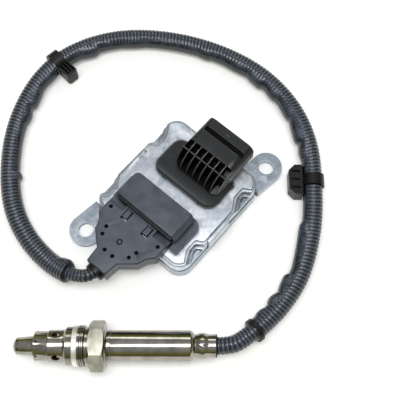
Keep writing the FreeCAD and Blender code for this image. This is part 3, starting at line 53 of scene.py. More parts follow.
backward = (CAMERA_AT - CAMERA_AIM).normalized()
upward = backward.cross(VIEW_RIGHT.normalized())
camera_turn = Matrix((VIEW_RIGHT.normalized(), upward, backward)).transposed()
bpy.ops.object.camera_add()
camera = bpy.context.object
camera.data.lens = 64.9
camera.data.sensor_width = 36
camera.data.clip_start = 0.01
camera.matrix_world = Matrix.Translation(CAMERA_AT) @ camera_turn.to_4x4()
bpy.context.scene.camera = camera


# White paper under the object
# A wide sheet of matt paper that the object lies on. The camera and the bright metal see it
# as white, and it keeps the object's shadow.

PAPER_WIDTH = 40.0
PAPER_GLOW = 0.24


def linear(hex_colour):
    """An sRGB hex colour as linear red, green, blue and a full alpha."""
    channels = [int(hex_colour[i:i + 2], 16) / 255 for i in (0, 2, 4)]
    turned = [c / 12.92 if c <= 0.04045 else ((c + 0.055) / 1.055) ** 2.4 for c in channels]
    return (*turned, 1)


def add_node(tree, kind, settings=None, values=None, links=None, stops=None):
    """Adds a node with its properties, plain inputs, links, and colours if it is a ramp."""
    node = tree.nodes.new("ShaderNode" + kind)
    for name, value in (settings or {}).items():
        setattr(node, name, value)
    for name, value in (values or {}).items():
        node.inputs[name].default_value = value
    for name, source in (links or {}).items():
        tree.links.new(source, node.inputs[name])
    for i, (position, hex_colour) in enumerate(stops or []):
        if i >= len(node.color_ramp.elements):
            node.color_ramp.elements.new(position)
        node.color_ramp.elements[i].position = position
        node.color_ramp.elements[i].color = linear(hex_colour)
    return node


def new_material(name, sockets):
    """A material with only a principled shader, whose own sockets are set."""
    material = bpy.data.materials.new(name)
    material.use_nodes = True
    tree = material.node_tree
    tree.nodes.clear()
    shader = add_node(tree, "BsdfPrincipled", values=sockets)
    add_node(tree, "OutputMaterial", links={"Surface": shader.outputs["BSDF"]})
    return material, tree, shader


bpy.ops.object.select_all(action="DESELECT")
bpy.ops.mesh.primitive_plane_add(size=PAPER_WIDTH, location=(0, 0, mm(-0.05)))
table_paper = bpy.context.object
table_paper.name = "table_paper"
bpy.ops.object.transform_apply(location=True)
paper, tree, shader = new_material(
    "matt_white_paper",
    {
        "Base Color": linear("fafafa"),
        "Roughness": 0.9,
        "Emission Color": linear("ffffff"),
    },
)
rays = add_node(tree, "LightPath")
camera_or_gloss = add_node(
    tree,
    "Math",
    {"operation": "MAXIMUM"},
    links={0: rays.outputs["Is Camera Ray"], 1: rays.outputs["Is Glossy Ray"]},
)
seen = add_node(
    tree,
    "Math",
    {"operation": "MAXIMUM"},
    links={0: camera_or_gloss.outputs["Value"], 1: rays.outputs["Is Transmission Ray"]},
)
glow = add_node(
    tree, "Math", {"operation": "MULTIPLY"}, {1: PAPER_GLOW}, {0: seen.outputs["Value"]}
)
tree.links.new(glow.outputs["Value"], shader.inputs["Emission Strength"])
table_paper.data.materials.append(paper)


# Studio light
# A small strong softbox overhead draws one narrow white band on the steel and soft gloss on
# the plastic. A second one behind draws a paler band. The room is dim and olive low down,
# which gives steel its dark bands, and only its skirting, seen behind the paper, is pale.

OVERHEAD_AT = (-0.083, -0.072, 0.9)
OVERHEAD_SIZE = (0.62, 0.3)
OVERHEAD_WATTS = 4.6
BEHIND_AT = (0.507, 0.436, 0.6)
BEHIND_SIZE = (0.6, 0.17)
BEHIND_WATTS = 1.0


def softbox(name, place, size, watts):
    """A rectangular lamp aimed at the origin, with its width across the picture."""
    bpy.ops.object.light_add(type="AREA")
    lamp = bpy.context.object
    lamp.name = name
    lamp.data.shape = "RECTANGLE"
    lamp.data.size, lamp.data.size_y = size
    lamp.data.energy = watts
    back = Vector(place).normalized()
    side = (VIEW_RIGHT - back * VIEW_RIGHT.dot(back)).normalized()
    turn = Matrix((side, back.cross(side), back)).transposed()
    lamp.matrix_world = Matrix.Translation(Vector(place)) @ turn.to_4x4()


softbox("overhead_softbox", OVERHEAD_AT, OVERHEAD_SIZE, OVERHEAD_WATTS)
softbox("behind_softbox", BEHIND_AT, BEHIND_SIZE, BEHIND_WATTS)

room = bpy.data.worlds.new("dim_room")
room.use_nodes = True
bpy.context.scene.world = room
walls = room.node_tree
direction = add_node(walls, "TexCoord")
height = add_node(walls, "SeparateXYZ", links={"Vector": direction.outputs["Generated"]})
shades = add_node(
    walls,
    "ValToRGB",
    links={"Fac": height.outputs["Z"]},
    stops=[
        (0.0, "e6e6e6"),
        (0.03, "e6e6e6"),
        (0.05, "2e2a10"),
        (0.28, "858340"),
        (0.5, "94945c"),
        (0.66, "a4a6a6"),
        (1.0, "babdc2"),
    ],
)
walls.links.new(shades.outputs["Color"], walls.nodes["Background"].inputs["Color"])
walls.nodes["Background"].inputs["Strength"].default_value = 1.0
bpy.context.scene.view_settings.view_transform = "Standard"


# Base plate and cover
# The unit's case: two die castings of aluminium, lightly blasted. The plate carries the
# mounting ears, and the cover closes it with its stepped rim and thumb hollows.

CASE_EDGE_MM = 0.3
FIELD_Z = 16.0
LEDGES_Z = (15.5, 13.2, 10.6)
LEDGE_GAP = 0.12
UPWARD = 0.9

MERGE_MM = 0.002
FLAT_DEGREES = 0.5
SMOOTH_DEGREES = 30
SHARP_DEGREES = 32


def dress(node_name, piece_name, edge_mm, material):
    """A finished copy of a CAD node, its edges broken as a mould or a deburring does."""
    bpy.ops.object.select_all(action="DESELECT")
    piece = bpy.data.objects.new(piece_name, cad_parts[node_name].data.copy())
    piece.data.materials.clear()
    bpy.context.collection.objects.link(piece)
    bpy.context.view_layer.objects.active = piece
    piece.select_set(True)
    bpy.ops.object.mode_set(mode="EDIT")
    bpy.ops.mesh.select_all(action="SELECT")
    bpy.ops.mesh.remove_doubles(threshold=mm(MERGE_MM))
    bpy.ops.mesh.dissolve_limited(angle_limit=math.radians(FLAT_DEGREES))
    bpy.ops.object.mode_set(mode="OBJECT")
    bpy.ops.object.shade_smooth_by_angle(angle=math.radians(SMOOTH_DEGREES))
    if edge_mm:
        bevel = piece.modifiers.new("edges", "BEVEL")
        bevel.width = mm(edge_mm)
        bevel.segments = 2
        bevel.limit_method = "ANGLE"
        bevel.angle_limit = math.radians(SHARP_DEGREES)
        bevel.harden_normals = True
        bpy.ops.object.modifier_apply(modifier="edges")
    piece.data.materials.append(material)
    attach(piece, "root")
    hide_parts(node_name)
    return piece


# Painted shade is full where this share of the air round a place is open, and none from the
# second.
# Painted edge highlight is full where this share behind it is hollow, as at an edge, and none
# from the second.
SHUT_AIR = 0.42
OPEN_AIR = 0.92
PAINTED_SHADE_SHARE = 0.92
THIN_EDGE = 0.35
SOLID = 0.75
EDGE_HIGHLIGHT_SHARE = 0.8


def painted_shade_and_highlight(tree, tone, highlight_hex, edge_mm, crevice_mm):
    """A tone darkened by painted shade in crevices, and lightened by painted highlights on edges.
    """
    depth = add_node(tree, "AmbientOcclusion", {"samples": 8}, {"Distance": mm(crevice_mm)})
    thin = add_node(
        tree, "AmbientOcclusion", {"samples": 8, "inside": True}, {"Distance": mm(edge_mm)}
    )
    edge_highlight = add_node(
        tree,
        "MapRange",
        values={"From Min": THIN_EDGE, "From Max": SOLID, "To Min": EDGE_HIGHLIGHT_SHARE, "To Max": 0.0},
        links={"Value": thin.outputs["AO"]},
    )
    highlighted_tone = add_node(
        tree,
        "Mix",
        {"data_type": "RGBA"},
        {"B": linear(highlight_hex)},
        {"Factor": edge_highlight.outputs["Result"], "A": tone},
    )
    unshaded = add_node(
        tree,
        "MapRange",
        values={"From Min": SHUT_AIR, "From Max": OPEN_AIR, "To Min": 0.0, "To Max": 1.0},
        links={"Value": depth.outputs["AO"]},
    )
    shaded_tone = add_node(
        tree,
        "Mix",
        {"data_type": "RGBA", "blend_type": "MULTIPLY"},
        {"Factor": PAINTED_SHADE_SHARE},
        {"A": highlighted_tone.outputs["Result"], "B": unshaded.outputs["Result"]},
    )
    return shaded_tone.outputs["Result"]


def refinish(piece, material, chosen):
    """Gives a second material to faces chosen by their middle, normal and area, in mm."""
    piece.data.materials.append(material)
    for face in piece.data.polygons:
        if chosen(face.center * 1000, face.normal, face.area * 1e6):
            face.material_index = len(piece.data.materials) - 1


def retoned(material, name, tones):
    """A copy of a material whose clouds have other colours, from dark to pale."""
    copied = material.copy()
    copied.name = name
    for node in copied.node_tree.nodes:
        if node.type == "VALTORGB":
            for element, hex_colour in zip(node.color_ramp.elements, tones):
                element.color = linear(hex_colour)
    return copied


def on_ledge(middle, normal, area):
    """On the rim's top, or on a ledge in a hollow."""
    return normal.z > UPWARD and any(abs(middle.z - level) < LEDGE_GAP for level in LEDGES_Z)


def on_low_wall(middle, normal, area):
    """On the wall between the rim and the raised field."""
    return abs(normal.z) < 0.8 and LEDGES_Z[0] - 0.05 < middle.z < FIELD_Z


# Blasted casting skin: cool silver with broad cloudy patches about 5 mm across, dull and a
# little rough to the eye. Its grit of 0.1 mm is drawn 0.8 mm coarse, so that it shows.
cast_metal, tree, shader = new_material("blasted_cast_aluminium", {"Metallic": 1.0})
place = add_node(tree, "TexCoord")
drift = add_node(
    tree,
    "TexNoise",
    values={"Scale": 1 / mm(3.0), "Detail": 2.0},
    links={"Vector": place.outputs["Object"]},
)
small_drift = add_node(
    tree, "VectorMath", {"operation": "SCALE"}, {"Scale": mm(4.0)}, {0: drift.outputs["Color"]}
)
drifted = add_node(
    tree,
    "VectorMath",
    {"operation": "ADD"},
    links={0: place.outputs["Object"], 1: small_drift.outputs["Vector"]},
)
patches = add_node(
    tree,
    "TexVoronoi",
    {"feature": "SMOOTH_F1"},
    {"Scale": 1 / mm(5.0), "Smoothness": 0.25},
    {"Vector": drifted.outputs["Vector"]},
)
clouds = add_node(
    tree,
    "TexNoise",
    values={"Scale": 1 / mm(2.4), "Detail": 5.0, "Roughness": 0.6},
    links={"Vector": place.outputs["Object"]},
)
mottle = add_node(
    tree,
    "Mix",
    {"data_type": "RGBA"},
    {"Factor": 0.68},
    {"A": patches.outputs["Color"], "B": clouds.outputs["Color"]},
)
tone = add_node(
    tree,
    "ValToRGB",
    links={"Fac": mottle.outputs["Result"]},
    stops=[(0.3, "a9b2be"), (0.5, "cad0d8"), (0.7, "e9edf1")],
)
# Painted shade darkens its crevices, and painted highlights lighten its edges to near white.
tree.links.new(
    painted_shade_and_highlight(tree, tone.outputs["Color"], "f4f6f8", 0.35, 2.4), shader.inputs["Base Color"]
)
dullness = add_node(
    tree,
    "MapRange",
    values={"From Min": 0.3, "From Max": 0.7, "To Min": 0.4, "To Max": 0.27},
    links={"Value": clouds.outputs["Fac"]},
)
tree.links.new(dullness.outputs["Result"], shader.inputs["Roughness"])
grit = add_node(
    tree,
    "TexNoise",
    values={"Scale": 1 / mm(0.8), "Detail": 3.0},
    links={"Vector": place.outputs["Object"]},
)
skin = add_node(
    tree,
    "Bump",
    values={"Strength": 0.35, "Distance": mm(0.1)},
    links={"Height": grit.outputs["Fac"]},
)
tree.links.new(skin.outputs["Normal"], shader.inputs["Normal"])

# The same casting a shade darker and duller, on the plate, and as painted shade on the cover's
# rim and the ledges of its hollows.
plate_and_ledge_shade_metal = retoned(cast_metal, "dull_cast_aluminium_and_ledge_shade", ("8b95a1", "a9b2bd", "cdd3da"))
# The same casting painted dark along the low wall between the rim and the field, as painted
# shade:
# a dark line to the eye.
low_wall_shade_metal = retoned(cast_metal, "painted_shade_cast_aluminium", ("2c3238", "424950", "5e656d"))

dress("base_plate", "case_base", CASE_EDGE_MM, plate_and_ledge_shade_metal)
lid = dress("case_cover", "case_lid", CASE_EDGE_MM, cast_metal)
refinish(lid, plate_and_ledge_shade_metal, on_ledge)
refinish(lid, low_wall_shade_metal, on_low_wall)


# Circuit board
# Glass-fibre laminate under green solder resist, screwed to the plate's posts, with moulded
# epoxy packages soldered on it. It is closed in, and shows only with the cover off.

BOARD_EDGE_MM = 0.1
PACKAGE_EDGE_MM = 0.15


def mottled(name, sockets, dark, pale, patch_mm, grain_mm, grain_depth_mm, edge=None):
    """A material of one substance: cloudy patches of two near tones, and a fine grain.

    The edge, if given, holds the colour and width of its painted edge highlights, and the width
    of its crevices' painted shade.
    """
    material, tree, shader = new_material(name, sockets)
    place = add_node(tree, "TexCoord").outputs["Object"]
    patches = add_node(
        tree,
        "TexNoise",
        values={"Scale": 1 / mm(patch_mm), "Detail": 3.0},
        links={"Vector": place},
    )
    tone = add_node(
        tree,
        "ValToRGB",
        links={"Fac": patches.outputs["Fac"]},
        stops=[(0.32, dark), (0.68, pale)],
    )
    colour = tone.outputs["Color"]
    if edge:
        colour = painted_shade_and_highlight(tree, colour, *edge)
    tree.links.new(colour, shader.inputs["Base Color"])
    grain = add_node(
        tree,
        "TexNoise",
        values={"Scale": 1 / mm(grain_mm), "Detail": 2.0},
        links={"Vector": place},
    )
    relief = add_node(
        tree,
        "Bump",
        values={"Strength": 0.5, "Distance": mm(grain_depth_mm)},
        links={"Height": grain.outputs["Fac"]},
    )
    tree.links.new(relief.outputs["Normal"], shader.inputs["Normal"])
    return material


# Solder resist over woven glass: mid green with an even gloss, the weave just felt.
laminate = mottled(
    "green_resist_laminate", {"Roughness": 0.3}, "1f4a2c", "2a5f39", 2.0, 0.6, 0.02
)
# Moulded epoxy packages: charcoal and matt, with the fine pits of a spark-eroded mould.
package = mottled(
    "moulded_epoxy", {"Roughness": 0.6, "IOR": 1.55}, "17181a", "222426", 3.0, 0.4, 0.03
)
dress("circuit_board", "board_laminate", BOARD_EDGE_MM, laminate)
dress("board_components", "board_parts", PACKAGE_EDGE_MM, package)


# Case seal and header seals
# Cords and flat rings of nitrile rubber, moulded, pressed between cover, plate and headers.
# Only their edges show.

# Moulded nitrile: near black and matt, with the faint bloom of rubber.
rubber = mottled(
    "moulded_nitrile_rubber", {"Roughness": 0.72, "IOR": 1.52}, "0e0f11", "191a1d", 1.5, 0.5, 0.03
)
for node_name in ("case_seal", "vehicle_header_seal", "sensor_header_seal"):
    dress(node_name, node_name + "_rubber", 0, rubber)


# Case screws
# Thread-forming steel screws, cold-headed and zinc plated. They are driven from below, and
# hold the plate and the board to the cover.

SCREW_EDGE_MM = 0.2

# Zinc plating, passivated: cool grey with a slight cloudiness, half bright.
zinc = mottled(
    "zinc_plated_steel", {"Metallic": 1.0, "Roughness": 0.34}, "878b93", "b2b6bd", 1.0, 0.3, 0.01
)
dress("case_screws", "case_screw_heads", SCREW_EDGE_MM, zinc)


# Vehicle header
# The socket for the vehicle's plug: one moulding of glass-filled nylon with a mouth that
# faces along the case, a ribbed elbow behind it, and tinned blades moulded in.

HEADER_EDGE_MM = 0.22
ELBOW_X = 21.6
ELBOW_Z = 19.2
CELL_FLOOR_RADIUS = 7.0
CELL_RIM_RADIUS = 12.3
HALF_TUBE = 17.2
GROOVE_FLOOR_Z = 31.4
GROOVE_GAP = 0.15

# Moulded glass-filled nylon: near black, satin, with a soft gloss where the mould was
# polished. The glass shows as a faint unevenness 4 mm across.
# Its edges get pale painted highlights, and its crevices and cells painted shade.
nylon = mottled(
    "moulded_glass_filled_nylon",
    {"Roughness": 0.36, "IOR": 1.53, "Specular IOR Level": 0.4},
    "121418",
    "1d2025",
    4.0,
    0.5,
    0.02,
    edge=("8e9092", 0.5, 4.0),
)
# Tinned bronze, stamped and drawn through dies: pale warm silver, nearly bright.
tinned = mottled(
    "tinned_bronze_strip",
    {"Metallic": 1.0, "Roughness": 0.28},
    "b7b2a5",
    "d6d2c7",
    1.2,
    0.3,
    0.008,
)
# The same nylon painted black and dull down in the elbow's cells and on the groove's floor, as
# painted shade.
cell_shade_nylon = mottled(
    "painted_shade_glass_filled_nylon",
    {"Roughness": 0.8, "IOR": 1.53, "Specular IOR Level": 0.1},
    "030304",
    "0a0b0c",
    2.0,
    0.5,
    0.03,
)


def in_cell(middle, normal, area):
    """Inside the elbow's cells, or on the floor of the groove across the tube."""
    in_groove = abs(middle.z - GROOVE_FLOOR_Z) < GROOVE_GAP and middle.x > ELBOW_X
    if normal.z > UPWARD and in_groove:
        return True
    reach = math.hypot(middle.x - ELBOW_X, middle.z - ELBOW_Z)
    behind = middle.z > ELBOW_Z and middle.x < ELBOW_X + 0.1 and abs(middle.y) < HALF_TUBE
    return behind and CELL_FLOOR_RADIUS < reach < CELL_RIM_RADIUS


header = dress(
    "vehicle_header", "vehicle_header_moulding", HEADER_EDGE_MM, nylon
)
refinish(header, cell_shade_nylon, in_cell)
dress("vehicle_terminals", "vehicle_terminals_strip", 0, tinned)


# Sensor header and its plug
# The hood over the probe's plug is a polyester moulding with a flange on the cover, and the
# plug in it, with its stamped contacts, is nylon.

HOOD_EDGE_MM = 0.3
PLUG_EDGE_MM = 0.2

# Moulded polyester: dark slate, satin, with a faint cloudy bloom 6 mm across from handling.
# Its edges get pale painted highlights, and its crevices painted shade.
polyester = mottled(
    "moulded_slate_polyester",
    {"Roughness": 0.42, "IOR": 1.57},
    "333a47",
    "464f5e",
    6.0,
    0.5,
    0.025,
    edge=("666b74", 0.4, 2.4),
)
dress("sensor_header", "sensor_header_moulding", HOOD_EDGE_MM, polyester)
dress("sensor_header_pins", "sensor_header_pins_strip", 0, tinned)
dress("sensor_plug", "sensor_plug_body", PLUG_EDGE_MM, nylon)
dress("plug_terminals", "plug_terminals_strip", 0, tinned)


# Backshell
# Two polyester shells over the plug's wires, snapped together by sprung fingers in their
# sides and held on the hood by its lugs.

BACKSHELL_EDGE_MM = 0.25
BACKSHELL_TOP_Z = 22.0
PINHOLE_FLOOR_Z = 20.9
PINHOLE_AREA = 3.6
UPRIGHT = 0.3

# The same polyester painted nearly black and dull in the blind holes and slots, as painted shade.
bore_shade_polyester = mottled(
    "painted_shade_slate_polyester",
    {"Roughness": 0.85, "IOR": 1.57, "Specular IOR Level": 0.1},
    "050506",
    "0c0d0f",
    2.0,
    0.5,
    0.03,
)


def in_bore(middle, normal, area):
    """On the floor or the wall of a hole, a slot or the ring in the top."""
    if not PINHOLE_FLOOR_Z - 0.1 < middle.z < BACKSHELL_TOP_Z - 0.05:
        return False
    return abs(normal.z) < UPRIGHT or (normal.z > UPWARD and area < PINHOLE_AREA)


shell_top = dress(
    "backshell_top", "backshell_top_moulding", BACKSHELL_EDGE_MM, polyester
)
refinish(shell_top, bore_shade_polyester, in_bore)
dress(
    "backshell_bottom", "backshell_bottom_moulding", BACKSHELL_EDGE_MM, polyester
)


# Cable
# A corrugated polypropylene conduit, pushed into the backshell and the probe's grommet.
# Between them a wider slit conduit is wrapped round it. Its free edge overlaps along the
# inside of the loop and buckles into lobes there. They are one tube with moulded rings.

THIN_RADIUS = mm(3.4)
SLEEVE_RADIUS = mm(5.25)
PROBE_END_RADIUS = mm(4.4)
RING_PITCH = mm(2.0)
RING_DEPTH = mm(0.32)
STEPS_PER_RING = 8
TUBE_SIDES = 48
RING_SMOOTH_DEGREES = 55
OVERLAP_THICKNESS = mm(0.15)
SLEEVE_STEP = mm(0.7)
TURN_REACH = mm(1.2)

# A ring's crest is broad and its groove narrow. Under the overlap they show through weakly.
CREST_BREADTH = 1.15
CREST_POWER = 0.75
RINGS_HIDDEN = 0.72
CREST_HIDDEN = 0.6
OVERLAP_TONE = 0.3

# The overlap starts under the inside of the loop, at these angles in degrees, and its free
# edge rounds off over twice the softness. The lobes bulge most this many degrees below the
# level, and fade between these cosines.
OVERLAP_FROM = (-90, -70)
FREE_EDGE_SOFTNESS = 6
LOBES_DOWN = 12
LOBES_SPREAD = (0.15, 0.95)

ROUTE = [
    (-55.5, 1.3, 16.8),
    (-62.6, 1.3, 16.8),
    (-67.7, 8.0, 13.2),
    (-70.0, 17.0, 8.6),
    (-71.0, 29.0, 5.7),
    (-69.0, 45.5, 5.4),
    (-62.0, 63.0, 5.4),
    (-47.4, 80.4, 5.4),
    (-27.4, 96.4, 5.4),
    (-4.0, 106.0, 5.8),
    (17.0, 107.5, 6.8),
    (38.0, 101.5, 5.8),
    (57.0, 88.0, 5.4),
    (73.0, 66.0, 5.4),
    (84.0, 40.0, 5.4),
    (88.2, 12.4, 5.4),
    (83.5, -13.0, 5.4),
    (71.5, -34.0, 5.8),
    (54.0, -50.0, 6.8),
    (34.0, -65.5, 5.8),
    (10.0, -76.9, 5.4),
    (-9.8, -79.3, 5.6),
    (-24.8, -78.0, 6.8),
    (-35.3, -75.9, 8.8),
    (-42.886, -73.787, 11.0),
    (-47.842, -68.025, 11.0),
]

# Lobes of the overlap: share of the sleeve's length, length and height in mm, and how far
# the top leans, from -1 towards the unit to 1 towards the probe. They are tied down at the
# sleeve's ends.
LEAN_REACH = 0.4
LOBE_POWER = 0.85
TIED_SHARE = 0.004
LOBES = [
    (0.012, 9, 1.3, -0.5),
    (0.159, 5, 1.3, 0.0),
    (0.245, 9, 1.0, 0.3),
    (0.275, 13, 1.3, -0.7),
    (0.312, 9, 0.4, 0.0),
    (0.378, 12, 1.4, 0.5),
    (0.440, 14, 0.5, 0.0),
    (0.540, 9, 0.7, 0.4),
    (0.585, 14, 0.5, 0.2),
    (0.620, 12, 1.3, 0.6),
    (0.650, 9, 0.8, 0.4),
    (0.682, 12, 0.8, 0.5),
    (0.716, 16, 1.6, 0.7),
    (0.748, 10, 0.8, 0.0),
    (0.872, 27, 1.3, -0.85),
    (0.927, 12, 1.8, -0.7),
    (0.952, 9, 1.5, 0.2),
    (0.976, 7, 0.8, 0.0),
]

# The overlap's free edge: share of the sleeve's length, and degrees up from the inside.
FREE_EDGE = [
    (0.0, 62),
    (0.08, 36),
    (0.18, 40),
    (0.255, 75),
    (0.30, 55),
    (0.385, 88),
    (0.42, 30),
    (0.50, 55),
    (0.60, 82),
    (0.70, 88),
    (0.78, 52),
    (0.84, 48),
    (0.87, 78),
    (0.93, 84),
    (0.97, 45),
    (1.0, 60),
]


def smooth_line(points):
    """A NURBS spline with the route's points as its control points, as points along it."""
    curve = bpy.data.curves.new("cable_route", "CURVE")
    curve.dimensions = "3D"
    spline = curve.splines.new("NURBS")
    spline.points.add(len(points) - 1)
    for control, point in zip(spline.points, points):
        control.co = (*[mm(c) for c in point], 1)
    spline.order_u = 3
    spline.use_endpoint_u = True
    curve.resolution_u = 24
    holder = bpy.data.objects.new("cable_route", curve)
    bpy.context.collection.objects.link(holder)
    bpy.context.view_layer.update()
    line = bpy.data.meshes.new_from_object(holder)
    places = [v.co.copy() for v in line.vertices]
    bpy.data.objects.remove(holder)
    return places


class Line:
    """Places along the cable by their distance from its start."""

    def __init__(self, places):
        self.places = places
        self.marks = [0.0]
        for before, after in zip(places, places[1:]):
            self.marks.append(self.marks[-1] + (after - before).length)
        self.length = self.marks[-1]

    def at(self, distance):
        """The place at a distance from the start."""
        distance = min(max(distance, 0), self.length)
        low, high = 0, len(self.marks) - 1
        while high - low > 1:
            middle = (low + high) // 2
            low, high = (middle, high) if self.marks[middle] <= distance else (low, middle)
        share = (distance - self.marks[low]) / (self.marks[high] - self.marks[low])
        return self.places[low].lerp(self.places[high], share)

    def turn(self, distance):
        """Place, direction, and the level direction towards the inside of the loop."""
        ahead = self.at(distance + TURN_REACH)
        direction = (ahead - self.at(distance - TURN_REACH)).normalized()
        inside = direction.cross(Vector((0, 0, 1))).normalized()
        return self.at(distance), direction, inside

    def nearest(self, run, share):
        """The distance along the line that is nearest to a place on a run of the route."""
        place = Vector(ROUTE[run]).lerp(Vector(ROUTE[run + 1]), share) * mm(1)
        gaps = [(p - place).length for p in self.places]
        return self.marks[gaps.index(min(gaps))]


# The sleeve starts and ends on these runs of the route, at these shares of the run.
SLEEVE_START = (2, 0.5)
SLEEVE_END = (22, 0.6)

cable = Line(smooth_line(ROUTE))
sleeve_from = cable.nearest(*SLEEVE_START)
sleeve_to = cable.nearest(*SLEEVE_END)


def smooth_step(low, high, value):
    """0 at the first value and 1 at the second, with a soft start and end between."""
    share = min(max((value - low) / (high - low), 0), 1)
    return share * share * (3 - 2 * share)


def lobe_height(share):
    """How far the overlap's lobes stand proud, in metres, at a share of the sleeve."""
    height = 0.0
    for middle, length, tall, lean in LOBES:
        place = (share - middle) * (sleeve_to - sleeve_from) / mm(length) + 0.5
        if 0 < place < 1:
            top = 0.5 + LEAN_REACH * lean
            climb = place / top if place < top else (1 - place) / (1 - top)
            height = max(height, tall * math.sin(climb * math.pi / 2) ** LOBE_POWER)
    tied = smooth_step(0, TIED_SHARE, share) * smooth_step(1, 1 - TIED_SHARE, share)
    return mm(height) * tied


def free_edge(share):
    """The angle of the overlap's free edge at a share of the sleeve, in degrees."""
    for (start, low), (end, high) in zip(FREE_EDGE, FREE_EDGE[1:]):
        if share <= end:
            return low + (high - low) * smooth_step(start, end, share)
    return FREE_EDGE[-1][1]


def tube_radius(distance):
    """Radius of the crests at a distance along the cable."""
    wide = smooth_step(sleeve_from, sleeve_from + SLEEVE_STEP, distance)
    wide *= smooth_step(sleeve_to + SLEEVE_STEP, sleeve_to, distance)
    core = THIN_RADIUS if distance < (sleeve_from + sleeve_to) / 2 else PROBE_END_RADIUS
    return core + (SLEEVE_RADIUS - core) * wide


def tube_mesh():
    """One tube with its rings, its step at each end of the sleeve, and the overlap."""
    vertices = []
    faces = []
    crest = []
    lapped = []
    steps = round(cable.length / RING_PITCH * STEPS_PER_RING)
    for i in range(steps + 1):
        distance = cable.length * i / steps
        centre, direction, inside = cable.turn(distance)
        over = inside.cross(direction)
        radius = tube_radius(distance)
        wave = 0.5 + 0.5 * math.cos(2 * math.pi * distance / RING_PITCH)
        wave = min(1.0, CREST_BREADTH * wave ** CREST_POWER)
        share = (distance - sleeve_from) / (sleeve_to - sleeve_from)
        lobe = lobe_height(share) if 0 < share < 1 else 0.0
        edge = free_edge(share)
        for j in range(TUBE_SIDES):
            angle = 2 * math.pi * j / TUBE_SIDES
            degrees = (math.degrees(angle) + 180) % 360 - 180
            lap = 0.0
            if 0 < share < 1:
                lap = smooth_step(*OVERLAP_FROM, degrees)
                lap *= smooth_step(edge + FREE_EDGE_SOFTNESS, edge - FREE_EDGE_SOFTNESS, degrees)
            bulge = smooth_step(*LOBES_SPREAD, math.cos(angle + math.radians(LOBES_DOWN)))
            depth = RING_DEPTH * (1 - RINGS_HIDDEN * lap) * (1 - wave)
            reach = radius - depth + OVERLAP_THICKNESS * lap + lobe * bulge
            spoke = inside * math.cos(angle) + over * math.sin(angle)
            vertices.append(centre + spoke * reach)
            crest.append(wave * (1 - CREST_HIDDEN * lap) + OVERLAP_TONE * lap)
            lapped.append(lap)
    for i in range(steps):
        for j in range(TUBE_SIDES):
            k = (j + 1) % TUBE_SIDES
            a, b = i * TUBE_SIDES, (i + 1) * TUBE_SIDES
            faces.append((a + j, a + k, b + k, b + j))
    last = steps * TUBE_SIDES
    faces.append(tuple(range(TUBE_SIDES - 1, -1, -1)))
    faces.append(tuple(range(last, last + TUBE_SIDES)))
    mesh = bpy.data.meshes.new("cable")
    mesh.from_pydata(vertices, [], faces)
    for name, values in (("crest", crest), ("lapped", lapped)):
        mesh.attributes.new(name, "FLOAT", "POINT").data.foreach_set("value", values)
    return mesh


bpy.ops.object.select_all(action="DESELECT")
tube = bpy.data.objects.new("cable_tube", tube_mesh())
bpy.context.collection.objects.link(tube)
bpy.context.view_layer.objects.active = tube
tube.select_set(True)
bpy.ops.object.mode_set(mode="EDIT")
bpy.ops.mesh.select_all(action="SELECT")
bpy.ops.mesh.normals_make_consistent(inside=False)
bpy.ops.object.mode_set(mode="OBJECT")
bpy.ops.object.shade_smooth_by_angle(angle=math.radians(RING_SMOOTH_DEGREES))

WORN_SHARE = 0.65

# Corrugated polypropylene, black from the mould: the grooves are painted dark as shade, the
# crests painted paler and colder as highlights, and scuffs 5 mm across dull its gloss. The
# overlap is worn most. The upper side is painted paler as light from above, and the flanks dark
# as painted shade.
conduit_plastic, tree, shader = new_material(
    "moulded_black_polypropylene", {"IOR": 1.49, "Specular IOR Level": 0.7}
)
place = add_node(tree, "TexCoord")
crests = add_node(tree, "Attribute", {"attribute_name": "crest"})
laps = add_node(tree, "Attribute", {"attribute_name": "lapped"})
# Painted shade in the grooves, and painted highlights on the crests.
highlighted_tone = add_node(
    tree,
    "ValToRGB",
    links={"Fac": crests.outputs["Fac"]},
    stops=[(0.0, "08090d"), (0.4, "181d27"), (1.0, "465063")],
)
scuffs = add_node(
    tree,
    "TexNoise",
    values={"Scale": 1 / mm(5.0), "Detail": 4.0, "Roughness": 0.6},
    links={"Vector": place.outputs["Object"]},
)
worn = add_node(
    tree,
    "ValToRGB",
    links={"Fac": scuffs.outputs["Fac"]},
    stops=[(0.4, "12161e"), (0.62, "444f64")],
)
scuffed = add_node(
    tree, "Math", {"operation": "MULTIPLY"}, {1: WORN_SHARE}, {0: laps.outputs["Fac"]}
)
shade = add_node(
    tree,
    "Mix",
    {"data_type": "RGBA"},
    links={
        "Factor": scuffed.outputs["Value"],
        "A": highlighted_tone.outputs["Color"],
        "B": worn.outputs["Color"],
    },
)
# Painted light from above: the upper side paler, and the flanks darker as painted shade.
surface = add_node(tree, "NewGeometry")
facing = add_node(tree, "SeparateXYZ", links={"Vector": surface.outputs["Normal"]})
top_light = add_node(
    tree,
    "MapRange",
    values={"From Min": 0.15, "From Max": 0.8, "To Min": 0.12, "To Max": 1.0},
    links={"Value": facing.outputs["Z"]},
)
top_lit_tone = add_node(
    tree,
    "Mix",
    {"data_type": "RGBA", "blend_type": "MULTIPLY"},
    {"Factor": 1.0},
    {"A": shade.outputs["Result"], "B": top_light.outputs["Result"]},
)
